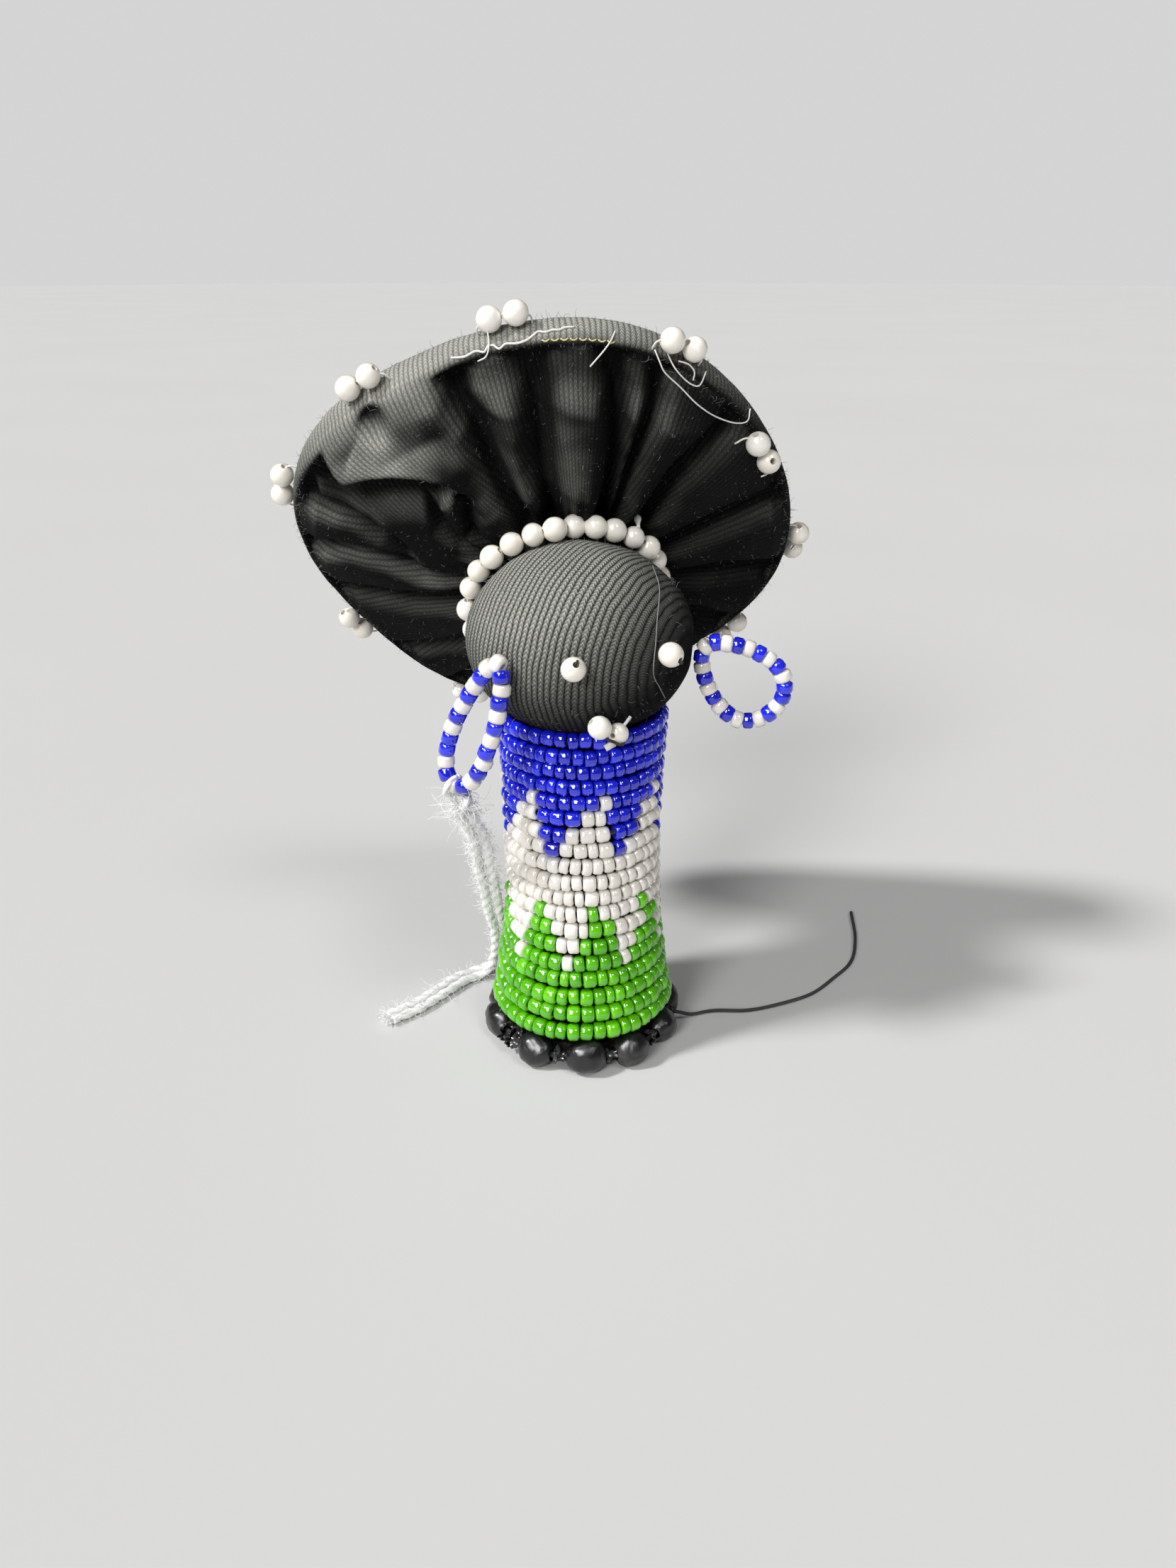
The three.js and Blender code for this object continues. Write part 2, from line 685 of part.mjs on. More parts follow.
function addString() {
  const loopFoot = rightStitch.clone().addScaledVector(rightAlong, EARRING_RIGHT_LENGTH);
  const knotDrop = EARRING_BEAD / 2 + CLEARANCE + KNOT_RADIUS;
  const towards = new THREE.Vector3(...KNOT_SIDE, -1).normalize();
  const knotMiddle = loopFoot.addScaledVector(towards, knotDrop);
  const knot = addPiece("string_knot", new THREE.SphereGeometry(KNOT_RADIUS, 8, 6), WHITE, 0.9);
  knot.rotation.x = Math.PI / 2;
  knot.position.copy(knotMiddle);
  const start = knotMiddle.clone();
  start.z -= KNOT_RADIUS + CLEARANCE;
  const route = [start, ...STRING_ROUTE.map((point) => new THREE.Vector3(...point))];
  for (const [name, side] of [
    ["string_strand_a", 1],
    ["string_strand_b", -1],
  ]) {
    const strand = route.map((point, index) => {
      const before = route[Math.max(index - 1, 0)];
      const after = route[Math.min(index + 1, route.length - 1)];
      const sideways = after.clone().sub(before);
      sideways.set(sideways.y, -sideways.x, 0).normalize();
      return point.clone().addScaledVector(sideways, side * STRING_SPREAD);
    });
    addPiece(name, cordTube(strand, STRING_RADIUS, STRING_STEPS), WHITE, 0.95);
  }
}

function addThreadTail() {
  const points = TAIL_ROUTE.map((point) => new THREE.Vector3(...point));
  addPiece("thread_tail", cordTube(points, TAIL_RADIUS, TAIL_STEPS), JERSEY, 0.9);
}

addSole();
addBody();
addBeadRows();
addFootBeads();
addHead();
addFace();
addHeadBand();
addHat();
addRimPearls();
addEarrings();
addString();
addThreadTail();

export default doll;
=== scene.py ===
import math

import bmesh
import bpy
import numpy as np
from mathutils import Matrix, Quaternion, Vector, noise


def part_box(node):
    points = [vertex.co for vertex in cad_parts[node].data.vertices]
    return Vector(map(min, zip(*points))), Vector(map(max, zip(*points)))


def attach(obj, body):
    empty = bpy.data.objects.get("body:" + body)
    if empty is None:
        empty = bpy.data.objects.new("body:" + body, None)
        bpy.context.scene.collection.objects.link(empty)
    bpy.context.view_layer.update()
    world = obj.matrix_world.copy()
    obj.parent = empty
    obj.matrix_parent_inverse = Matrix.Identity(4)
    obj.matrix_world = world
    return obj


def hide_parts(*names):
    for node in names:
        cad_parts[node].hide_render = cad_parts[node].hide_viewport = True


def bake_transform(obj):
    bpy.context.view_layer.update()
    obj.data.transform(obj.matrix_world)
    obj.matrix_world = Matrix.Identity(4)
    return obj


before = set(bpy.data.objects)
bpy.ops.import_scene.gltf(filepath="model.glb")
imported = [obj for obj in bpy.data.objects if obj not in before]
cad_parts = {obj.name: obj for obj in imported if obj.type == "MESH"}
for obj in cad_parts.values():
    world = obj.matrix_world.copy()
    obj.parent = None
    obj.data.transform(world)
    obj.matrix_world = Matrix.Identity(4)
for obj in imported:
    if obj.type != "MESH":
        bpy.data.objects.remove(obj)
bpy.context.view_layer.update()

# The view: a camera above the doll and to its right, as near as a hand's length, on a pale floor
# under soft lamps from the upper left. None of this belongs to the doll.
camera_data = bpy.data.cameras.new("camera")
camera_data.lens = 27.67
camera_data.sensor_width = 36
camera_data.clip_start = 0.005
camera = bpy.data.objects.new("camera", camera_data)
camera.location = (-0.05017, -0.13648, 0.102)
camera.rotation_euler = Vector((0.320, 0.856, -0.407)).to_track_quat("-Z", "Y").to_euler()
bpy.context.scene.collection.objects.link(camera)
bpy.context.scene.camera = camera
bpy.context.scene.view_settings.view_transform = "Standard"


class Shade:
    """One output among a material's nodes. Sums on shades add Math nodes."""

    def __init__(self, tree, socket=None):
        self.tree = tree
        self.socket = socket

    def node(self, kind, settings=None, inputs=None, output=0):
        """Adds a node: its settings first, then the values or links of its sockets."""
        made = self.tree.nodes.new(kind)
        for name, value in (settings or {}).items():
            setattr(made, name, value)
        for name, value in (inputs or {}).items():
            if isinstance(value, Shade):
                self.tree.links.new(value.socket, made.inputs[name])
            else:
                made.inputs[name].default_value = value
        return Shade(self.tree, made.outputs[output])

    def math(self, operation, *values):
        return self.node("ShaderNodeMath", {"operation": operation}, dict(enumerate(values)))

    def __add__(self, other):
        return self.math("ADD", self, other)

    __radd__ = __add__

    def __sub__(self, other):
        return self.math("SUBTRACT", self, other)

    def __rsub__(self, other):
        return self.math("SUBTRACT", other, self)

    def __mul__(self, other):
        return self.math("MULTIPLY", self, other)

    __rmul__ = __mul__

    def __pow__(self, other):
        return self.math("POWER", self, other)

    def rise(self, low, high):
        """0 below the low value and 1 above the high one."""
        ends = {"Value": self, "From Min": low, "From Max": high}
        return self.node("ShaderNodeMapRange", {"interpolation_type": "SMOOTHSTEP"}, ends)

    def mix(self, first, second):
        """A colour between two, by this share of the second."""
        ends = [end if isinstance(end, Shade) else (*end, 1) for end in (first, second)]
        values = {0: self, 6: ends[0], 7: ends[1]}
        return self.node("ShaderNodeMix", {"data_type": "RGBA"}, values, 2)

    def texture(self, kind, settings=None, **values):
        """A texture node laid out over the piece itself."""
        place = self.node("ShaderNodeTexCoord", output="Object")
        return self.node(kind, settings, {"Vector": place, **values})

    def cloud(self, scale, detail=2.0):
        """Soft noise over the piece, from 0 to 1."""
        return self.texture("ShaderNodeTexNoise", Scale=scale, Detail=detail)

    def cells(self, scale):
        """How far a place lies from the borders of small cells."""
        return self.texture("ShaderNodeTexVoronoi", {"feature": "DISTANCE_TO_EDGE"}, Scale=scale)

    def marked(self, name):
        """A value that the piece's points carry."""
        return self.node("ShaderNodeAttribute", {"attribute_name": name}, output="Fac")

    def bump(self, strength, distance):
        values = {"Strength": strength, "Distance": distance, "Height": self}
        return self.node("ShaderNodeBump", None, values)


def finish(name, constants, paint):
    """A material: what is the same all over is set on the shader, and paint gives what varies."""
    material = bpy.data.materials.new(name)
    material.use_nodes = True
    tree = material.node_tree
    shader = tree.nodes["Principled BSDF"]
    for socket, value in constants.items():
        shader.inputs[socket].default_value = value
    for socket, shade in paint(Shade(tree)).items():
        tree.links.new(shade.socket, shader.inputs[socket])
    return material


def mottled(name, grain, dark, light, rough, relief=None, constants=None):
    """A material of two tones in soft patches, which also set how rough and how raised it is."""

    def paint(base):
        patch = base.cloud(*grain)
        looks = {"Base Color": patch.mix(dark, light), "Roughness": rough[0] + patch * rough[1]}
        if relief:
            looks["Normal"] = patch.bump(*relief)
        return looks

    return finish(name, constants or {}, paint)


bpy.ops.object.select_all(action="DESELECT")
bpy.ops.mesh.primitive_circle_add(vertices=96, radius=4, fill_type="NGON", location=(0, 0, -0.0001))
floor = bpy.context.object
floor.name = "floor"
pale_floor = mottled("pale_floor", (6.0,), (0.59, 0.585, 0.58), (0.63, 0.625, 0.62), (0.9, 0.0))
floor.data.materials.append(pale_floor)

world = bpy.data.worlds.new("studio")
bpy.context.scene.world = world
world.use_nodes = True
sky = Shade(world.node_tree)
path_seen = sky.node("ShaderNodeLightPath", output="Is Camera Ray")
path_glossy = sky.node("ShaderNodeLightPath", output="Is Glossy Ray")
backdrop = world.node_tree.nodes["Background"]
backdrop.inputs["Color"].default_value = (0.93, 0.93, 0.94, 1)
level = 0.12 + path_seen * 0.59 - path_glossy * 0.05
world.node_tree.links.new(level.socket, backdrop.inputs["Strength"])


def hang_lamp(name, towards, strength, spread):
    """A broad lamp far off, in the direction given from the doll."""
    data = bpy.data.lights.new(name, "SUN")
    data.energy = strength
    data.angle = math.radians(spread)
    lamp = bpy.data.objects.new(name, data)
    lamp.rotation_euler = Vector(towards).to_track_quat("Z", "Y").to_euler()
    bpy.context.scene.collection.objects.link(lamp)
    return lamp


hang_lamp("key_lamp", (-0.676, 0.022, 0.737), 2.5, 8)
hang_lamp("fill_lamp", (-0.64, -0.60, 0.48), 1.8, 20)
hang_lamp("top_lamp", (0.15, -0.55, 0.82), 0.6, 14)
hang_lamp("window", (-0.55, -0.35, 0.76), 3.0, 27).visible_diffuse = False  # it only glints on glass

# The sole: a round of dark hide that closes the foot of the body and stands on the floor.
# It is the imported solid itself, with the grain and the dull wear of old leather.


def paint_hide(base):
    worn = base.cloud(160.0, 4.0).rise(0.45, 0.7)
    return {
        "Base Color": worn.mix((0.030, 0.022, 0.018), (0.085, 0.066, 0.052)),
        "Roughness": 0.62 + worn * 0.25,
        "Normal": base.cells(1100.0).rise(0.0, 0.12).bump(0.5, 0.0002),
    }


def cover_node(node, material):
    """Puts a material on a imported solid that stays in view."""
    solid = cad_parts[node]
    solid.data.materials.clear()
    solid.data.materials.append(material)


cover_node("sole", finish("dark_hide", {}, paint_hide))

# The body: a tight roll of cotton wadding inside a sleeve of black jersey, drawn in at the waist.
# Both are round forms pulled up level by level. The sleeve shows only in the chinks between beads.
MM = 0.001
FOOT_TOP = 4.8
WAIST_HEIGHT = 26.0
BODY_TOP = 46.425
WAIST_RADIUS = 8.1
TOP_RADIUS = 8.85
HEM_RADIUS = 10.35
SHANK_RADIUS = 8.2  # inside the ring of foot beads
SLEEVE_WALL = 1.1
SLEEVE_WALES = 64
COURSE = 0.55


def core_radius(height):
    """The sleeve's radius, narrowest at the waist, in millimetres."""
    if height < FOOT_TOP:
        return SHANK_RADIUS
    end, end_radius = (BODY_TOP, TOP_RADIUS) if height > WAIST_HEIGHT else (FOOT_TOP, HEM_RADIUS)
    share = (height - WAIST_HEIGHT) / (end - WAIST_HEIGHT)
    return WAIST_RADIUS + (end_radius - WAIST_RADIUS) * share * share


def turned_form(name, outline, sides, middle=(0, 0)):
    """A disc at the foot, extruded from level to level and sized to the outline's radii."""
    bpy.ops.object.select_all(action="DESELECT")
    radius, height = outline[0]
    foot = (middle[0] * MM, middle[1] * MM, height * MM)
    bpy.ops.mesh.primitive_circle_add(
        vertices=sides, radius=radius * MM, fill_type="NGON", location=foot
    )
    form = bpy.context.object
    form.name = name
    bpy.ops.object.transform_apply()
    bpy.ops.object.mode_set(mode="EDIT")
    for (radius, height), (next_radius, next_height) in zip(outline, outline[1:]):
        rise = {"value": (0, 0, (next_height - height) * MM)}
        bpy.ops.mesh.extrude_region_move(TRANSFORM_OT_translate=rise)
        share = next_radius / radius
        centre = (middle[0] * MM, middle[1] * MM, next_height * MM)
        bpy.ops.transform.resize(value=(share, share, 1), center_override=centre)
    bpy.ops.mesh.select_all(action="SELECT")
    bpy.ops.mesh.normals_make_consistent(inside=False)
    bpy.ops.object.mode_set(mode="OBJECT")
    bpy.ops.object.shade_smooth()
    return form


def places_of(piece):
    """The places of a piece's vertices, one row each."""
    places = np.empty(len(piece.data.vertices) * 3)
    piece.data.vertices.foreach_get("co", places)
    return places.reshape(-1, 3)


def set_places(piece, places):
    piece.data.vertices.foreach_set("co", np.ascontiguousarray(places).ravel())
    piece.data.update()


def mark(mesh, name, values):
    """Gives each point of a mesh a value that its material reads."""
    layer = mesh.attributes.new(name, "FLOAT", "POINT")
    layer.data.foreach_set("value", np.ascontiguousarray(values, np.float32).ravel())


def map_stitches(piece, stitches, stitches_round, crosswise=False):
    """A UV map in stitches that closes on itself round the piece: wales across and courses along,
    or the other way about where the knit runs crosswise."""
    mesh = piece.data
    corners = np.empty(len(mesh.loops), np.int32)
    mesh.loops.foreach_get("vertex_index", corners)
    starts = np.empty(len(mesh.polygons), np.int32)
    counts = np.empty(len(mesh.polygons), np.int32)
    mesh.polygons.foreach_get("loop_start", starts)
    mesh.polygons.foreach_get("loop_total", counts)
    cloth = stitches[corners]
    first = cloth[np.repeat(starts, counts), 0]
    cloth[:, 0] -= stitches_round * np.round((cloth[:, 0] - first) / stitches_round)
    if crosswise:
        cloth = cloth[:, ::-1]
    layer = mesh.uv_layers.new(name="stitches")
    layer.data.foreach_set("uv", np.ascontiguousarray(cloth, np.float32).ravel())


def paint_light_on_cloth(piece, normals, fold_shade, towards, start, span):
    """Marks how much painted light each place of a cloth gets: it begins where the cloth turns so
    far towards the light, is full a span further, and is least in the folds, which get painted
    shade."""
    turned_up = np.clip((normals @ np.array(towards) - start) / span, 0, 1) ** 1.8
    # the painted light, less the painted shade in the folds
    mark(piece.data, "faded", turned_up * (1 - fold_shade))


def paint_jersey(base, crisp=1.0, pale=0.52):
    """Knit face of washed black cotton: ribs of small slanted stitches, paler under painted light.
    """
    stitch = base.node("ShaderNodeUVMap", {"uv_map": "stitches"})
    faded = base.marked("faded")
    wander = base.cloud(330.0, 3.0) - 0.5
    wale = base.node("ShaderNodeSeparateXYZ", None, {0: stitch}, 0) + wander * 0.7
    course = base.node("ShaderNodeSeparateXYZ", None, {0: stitch}, 1) + wander * 0.6
    off_middle = wale.math("FRACT", wale) - 0.5
    across = off_middle.math("ABSOLUTE", off_middle)
    rib = 1 - (across * 2.0) ** 1.9
    slant = (course + across * 1.6) * (2 * math.pi)
    loop = slant.math("COSINE", slant) * 0.5 + 0.5
    relief = (rib * (0.45 + loop * 0.55) - 0.45) * crisp + 0.45
    worn = base.cloud(75.0, 5.0).rise(0.35, 0.75)
    lint = base.cloud(2600.0, 3.0).rise(0.57, 0.74)
    specks = base.cloud(2300.0, 1.5).rise(0.66, 0.76)
    # painted light makes the yarn pale; the grooves between stitches keep a painted shade
    yarn = (faded * 0.98 + worn * 0.02).mix((0.006, 0.006, 0.0063), (pale, pale, pale * 0.9))
    knit = (relief * 0.95).mix((0.003, 0.003, 0.0035), yarn)
    # the lint shows mostly under the painted light: part real lint, part painted light
    dust = lint * (0.015 + faded * 0.4) + specks * 0.12
    return {
        "Base Color": dust.mix(knit, (0.42, 0.42, 0.39)),
        "Roughness": 0.97 - relief * 0.08,
        "Normal": (relief + lint * 0.3).bump(0.9, 0.0003),
    }


def fix(piece, node=None, body="doll"):
    """Fixes a finished piece to its body and hides the solid that it stands for."""
    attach(piece, body)
    if node:
        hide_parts(node)


DULL = {"Specular IOR Level": 0.08}
jersey = finish("black_jersey", DULL, paint_jersey)
wadding = mottled(
    "cotton_wadding", (420.0, 5.0), (0.52, 0.47, 0.38), (0.80, 0.76, 0.67), (0.9, 0.1), (0.9, 0.0008)
)
body_levels = np.linspace(1.8, BODY_TOP, 30)
roll_outline = [(core_radius(height) - SLEEVE_WALL, height) for height in body_levels]
body_roll = turned_form("body_stuffing", roll_outline, 40)
body_roll.data.materials.append(wadding)
fix(body_roll, "body_core")

sleeve_outline = [(core_radius(height), height) for height in body_levels]
sleeve = turned_form("body_sleeve_jersey", sleeve_outline, 64)
sleeve_places = places_of(sleeve)
sleeve_turn = np.arctan2(sleeve_places[:, 1], sleeve_places[:, 0]) / (2 * math.pi) * SLEEVE_WALES
sleeve_stitches = np.stack([sleeve_turn, sleeve_places[:, 2] / (COURSE * MM)], 1)
map_stitches(sleeve, sleeve_stitches, SLEEVE_WALES)
sleeve.data.materials.append(jersey)
fix(sleeve, "body_sleeve")

# The bead rows: 19 rings of glass seed beads, each ring strung on its own black thread and sewn
# round the sleeve. One bead is a cut of glass tube with tumbled ends, no two quite alike.
BEAD_RADIUS = 1.0
BEAD_LENGTH = 1.45
BEAD_WALL = 0.58
BEAD_ROUNDING = 0.34
ROW_THREAD = 0.3


def apply_modifier(piece, kind, **settings):
    bpy.context.view_layer.objects.active = piece
    modifier = piece.modifiers.new(kind.lower(), kind)
    for name, value in settings.items():
        setattr(modifier, name, value)
    bpy.ops.object.modifier_apply(modifier=modifier.name)


def pick_edges(piece, wanted):
    """Selects the edges of a piece in edit mode whose two ends pass the test."""
    bpy.ops.mesh.select_mode(type="EDGE")
    bpy.ops.mesh.select_all(action="DESELECT")
    cage = bmesh.from_edit_mesh(piece.data)
    for edge in cage.edges:
        if wanted(edge.verts[0].co, edge.verts[1].co):
            edge.select_set(True)
    bmesh.update_edit_mesh(piece.data)


def model_seed_bead():
    """One bead about the X axis: a short tube with a wall of glass and rounded outer rims."""
    bpy.ops.object.select_all(action="DESELECT")
    bpy.ops.mesh.primitive_cylinder_add(
        vertices=10,
        radius=BEAD_RADIUS * MM,
        depth=BEAD_LENGTH * MM,
        end_fill_type="NOTHING",
        rotation=(0, math.pi / 2, 0),
    )
    bead = bpy.context.object
    bpy.ops.object.transform_apply()
    apply_modifier(bead, "SOLIDIFY", thickness=BEAD_WALL * MM, offset=-1)
    bpy.ops.object.mode_set(mode="EDIT")

    def outer_rim(start, end):
        level = abs(start.x - end.x) < 0.01 * MM
        return level and min(start.yz.length, end.yz.length) > 0.9 * BEAD_RADIUS * MM

    pick_edges(bead, outer_rim)
    bpy.ops.mesh.bevel(offset=BEAD_ROUNDING * MM, segments=2, profile=0.5)
    bpy.ops.mesh.select_all(action="SELECT")
    bpy.ops.mesh.normals_make_consistent(inside=False)
    bpy.ops.object.mode_set(mode="OBJECT")
    bpy.ops.object.shade_smooth()
    return bead


def string_up(name, model, places):
    """Copies a modelled bead to each place, each copy with its own mesh and tone, and joins them."""
    bpy.ops.object.select_all(action="DESELECT")
    for place, material, tone in places:
        mesh = model.data.copy()
        mesh.transform(place)
        mesh.materials.clear()
        mesh.materials.append(material)
        mark(mesh, "tone", np.full(len(mesh.vertices), tone))
        copy = bpy.data.objects.new(name, mesh)
        bpy.context.scene.collection.objects.link(copy)
        copy.select_set(True)
        bpy.context.view_layer.objects.active = copy
    bpy.ops.object.join()
    strung = bpy.context.object
    strung.name = name
    return strung


def bead_glass(name, deep, bright):
    """Opaque drawn glass: each bead its own tone, a faint streak and a fire-polished skin."""

    def paint_glass(base):
        streak = base.cloud(700.0, 2.0)
        return {
            "Base Color": (base.marked("tone") * 0.75 + streak * 0.25).mix(deep, bright),
            "Roughness": 0.05 + streak * 0.10,
            "Normal": base.cloud(900.0, 1.0).bump(0.10, 0.0002),
        }

    return finish(name, {"IOR": 1.55, "Coat Weight": 1.0, "Coat Roughness": 0.06}, paint_glass)


blue_glass = bead_glass("blue_glass", (0.004, 0.007, 0.44), (0.014, 0.026, 0.82))
white_glass = bead_glass("white_glass", (0.76, 0.71, 0.635), (0.85, 0.825, 0.775))
green_glass = bead_glass("green_glass", (0.056, 0.34, 0.001), (0.140, 0.60, 0.003))
GLASS = {"b": blue_glass, "w": white_glass, "g": green_glass}


def paint_thread(base):
    """Waxed black sewing thread, with the slant of its twist."""
    twist = base.node("ShaderNodeTexWave", {"bands_direction": "DIAGONAL"}, {"Scale": 900.0})
    return {
        "Base Color": twist.mix((0.008, 0.008, 0.008), (0.050, 0.047, 0.043)),
        "Roughness": 0.6 + twist * 0.2,
        "Normal": twist.bump(0.5, 0.0001),
    }


black_thread = finish("black_thread", {}, paint_thread)

# Each row: how many beads, their diameter, the run of colours that repeats round it, and where
# the first colour of that run is centred, in degrees from the face towards the left hand.
ROWS = [
    (42, 2.0, "b", 0),
    (42, 2.0, "b", 3),
    (42, 2.0, "b", -2),
    (42, 2.0, "b", 1),
    (42, 2.0, "wbbbbb", -3.0),
    (35, 2.075, "wwbbb", -11.4),
    (35, 2.075, "wwwbb", -16.1),
    (35, 2.075, "wwwwb", -17.0),
    (42, 2.15, "w", 0),
    (42, 2.15, "w", 4),
    (42, 2.15, "w", -3),
    (40, 2.225, "gwwww", -12.0),
    (40, 2.225, "ggwww", -5.2),
    (40, 2.225, "gggww", -7.3),
    (40, 2.225, "ggggw", -8.5),
    (43, 2.3, "g", 2),
    (43, 2.3, "g", -1),
    (43, 2.3, "g", 3),
    (43, 2.3, "g", 0),
]
ROW_GAPS = {6: [(2, 0.55), (4, 0.5)]}  # bare thread after these beads of the run, in millimetres
chance = np.random.default_rng(11)
seed_bead = model_seed_bead()


def bead_place(at, turn, length, girth, glass):
    """Where a seed bead goes: its middle, the way it lies, its two sizes as factors, its glass."""
    spin = Matrix.Rotation(chance.uniform(0, 6.28), 4, "X")
    size = Matrix.Diagonal((length, girth, girth, 1))
    place = Matrix.Translation(Vector(at) * MM) @ turn @ spin @ size
    return place, glass, chance.uniform(0, 1)


def thread_row(name, ring_radius, height, count, diameter, run, centre, gaps):
    """Lays beads of slightly uneven length end to end round the ring."""
    spans = np.clip(1 + 0.13 * chance.standard_normal(count), 0.74, 1.3)
    pauses = np.zeros(count)
    for after, width in gaps:
        pauses[after] = width / ring_radius
    spans *= (2 * math.pi - pauses.sum()) / spans.sum()
    ends = np.cumsum(spans + pauses) - pauses
    middles = ends - spans / 2
    lead = len(run) - len(run.lstrip(run[0])) if len(set(run)) > 1 else 1
    middles += math.radians(centre) - middles[:lead].mean()
    roll = chance.uniform(0, 2 * math.pi)
    places = []
    for index in range(count):
        angle = middles[index]
        radius = ring_radius + chance.normal(0, 0.07)
        sag = 0.10 * math.sin(angle + roll) + 0.05 * math.sin(3 * angle - roll)
        lift = sag + chance.normal(0, 0.05)
        girth = diameter / (2 * BEAD_RADIUS) * chance.uniform(0.99, 1.06)
        length = (spans[index] * ring_radius - 0.05) / BEAD_LENGTH
        at = (radius * math.sin(angle), -radius * math.cos(angle), height + lift)
        turn = Matrix.Rotation(angle + chance.normal(0, 0.06), 4, "Z")
        nod = Matrix.Rotation(chance.normal(0, 0.07), 4, "Y")
        glass = GLASS[run[index % len(run)]]
        places.append(bead_place(at, turn @ nod, length, girth, glass))
    return string_up(name, seed_bead, places)


def ring_thread(radius, height, thickness):
    bpy.ops.object.select_all(action="DESELECT")
    bpy.ops.mesh.primitive_torus_add(
        major_segments=72,
        minor_segments=6,
        major_radius=radius * MM,
        minor_radius=thickness * MM,
        location=(0, 0, height * MM),
    )
    thread = bpy.context.object
    bpy.ops.object.transform_apply()
    bpy.ops.object.shade_smooth()
    thread.data.materials.append(black_thread)
    return thread


def join_to(piece, *others):
    """Joins other meshes into a piece."""
    bpy.ops.object.select_all(action="DESELECT")
    for other in others:
        other.select_set(True)
    piece.select_set(True)
    bpy.context.view_layer.objects.active = piece
    bpy.ops.object.join()


for index, (count, diameter, run, centre) in enumerate(ROWS):
    node = f"bead_row_{index + 1:02d}"
    low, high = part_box(node)
    height = (low.z + high.z) / 2 / MM
    ring_radius = core_radius(height) + ROW_THREAD + diameter / 2
    gaps = ROW_GAPS.get(index, [])
    row = thread_row(f"{node}_beads", ring_radius, height, count, diameter, run, centre, gaps)
    join_to(row, ring_thread(ring_radius, height, ROW_THREAD))
    fix(row, node)

# The foot: eleven big black beads on one thread round the bottom of the body. They are soft old
# glass, dented and creased when they were wound, with crumpled scraps of black film between them.
FOOT_ANGLES = [-107.4, -76.5, -40.4, -9.7, 21, 51.7, 82.4, 113.1, 143.8, 174.5, 217.1]
FOOT_RING = 11.6
FOOT_BEAD_RADIUS = 2.4
FOOT_BEAD_LENGTH = 5.3
FOOT_BEAD_HOLE = 0.9
DENTS = ("dents", 2.6, 2, 0.9)  # each unevenness: its name, size, depth of detail and strength
CREASES = ("creases", 0.8, 3, 0.28)
CRUMPLE = ("crumple", 0.55, 3, 1.9)
FLOOR_GAP = 0.02


def drilled_ball(name, segments, rings, radius, hole_radius):
    """A ball about the Z axis with a hole through it: the caps come off and the rims are bridged."""
    bpy.ops.object.select_all(action="DESELECT")
    bpy.ops.mesh.primitive_uv_sphere_add(segments=segments, ring_count=rings, radius=radius * MM)
    ball = bpy.context.object
    ball.name = name
    bpy.ops.object.mode_set(mode="EDIT")
    tip = radius * math.sqrt(1 - (hole_radius / radius) ** 2)
    for side in (1, -1):
        bpy.ops.mesh.select_all(action="SELECT")
        bpy.ops.mesh.bisect(
            plane_co=(0, 0, side * tip * MM),
            plane_no=(0, 0, side),
            clear_outer=True,
            threshold=0.00001,
        )
    bpy.ops.mesh.select_mode(type="EDGE")
    bpy.ops.mesh.select_all(action="DESELECT")
    bpy.ops.mesh.select_non_manifold()
    bpy.ops.mesh.bridge_edge_loops()
    bpy.ops.mesh.select_all(action="SELECT")
    bpy.ops.mesh.normals_make_consistent(inside=False)
    bpy.ops.object.mode_set(mode="OBJECT")
    bpy.ops.object.shade_smooth_by_angle(angle=math.radians(50))
    return ball


def displace(piece, name, size, depth, strength):
    """Moves the points of a piece in and out by a cloud of that size."""
    texture = bpy.data.textures.get(name) or bpy.data.textures.new(name, "CLOUDS")
    texture.noise_scale = size * MM
    texture.noise_depth = depth
    apply_modifier(
        piece, "DISPLACE", texture=texture, texture_coords="LOCAL", strength=strength * MM
    )


def paint_black_glass(base):
    """Dark glass: shiny, mottled where it is pitted, with dust in the creases."""
    crease = base.cells(420.0)
    pits = base.cloud(1500.0, 3.0)
    dust = base.cloud(260.0, 5.0).rise(0.52, 0.78)
    return {
        "Base Color": (dust * 0.4).mix((0.005, 0.005, 0.0055), (0.06, 0.055, 0.05)),
        "Roughness": 0.26 + pits * 0.14 + dust * 0.25,
        "Normal": (crease.rise(0.0, 0.16) * 0.6 + pits * 0.3).bump(0.3, 0.0002),
    }


black_glass = finish("black_glass", {"Coat Weight": 0.4, "Coat Roughness": 0.3}, paint_black_glass)
foot_model = drilled_ball("foot_bead_model", 24, 18, FOOT_BEAD_RADIUS, FOOT_BEAD_HOLE)
for index, angle in enumerate(np.radians(FOOT_ANGLES)):
    node = f"foot_bead_{index + 1:02d}"
    size = 1 - 0.05 * (index % 3)
    high_middle = FOOT_BEAD_RADIUS * math.cos(math.pi / 8) * size
    at = Vector((FOOT_RING * math.cos(angle), FOOT_RING * math.sin(angle), high_middle)) * MM
    girth = size * 1.06
    length = size * 1.1 * FOOT_BEAD_LENGTH / (2 * FOOT_BEAD_RADIUS)
    lay = Matrix.Rotation(angle, 4, "Z") @ Matrix.Rotation(math.pi / 2, 4, "X")
    place = Matrix.Translation(at) @ lay @ Matrix.Diagonal((girth, girth, length, 1))
    bead = string_up(f"{node}_glass", foot_model, [(place, black_glass, 0.5)])
    displace(bead, *DENTS)
    displace(bead, *CREASES)
    settled = places_of(bead)
    settled[:, 2] = np.maximum(settled[:, 2], FLOOR_GAP * MM)
    set_places(bead, settled)
    fix(bead, node)
bpy.data.objects.remove(foot_model)

black_film = mottled(
    "black_film",
    (900.0, 3.0),
    (0.008, 0.008, 0.009),
    (0.05, 0.05, 0.052),
    (0.12, 0.2),
    (0.6, 0.0002),
    {"Coat Weight": 0.3},
)


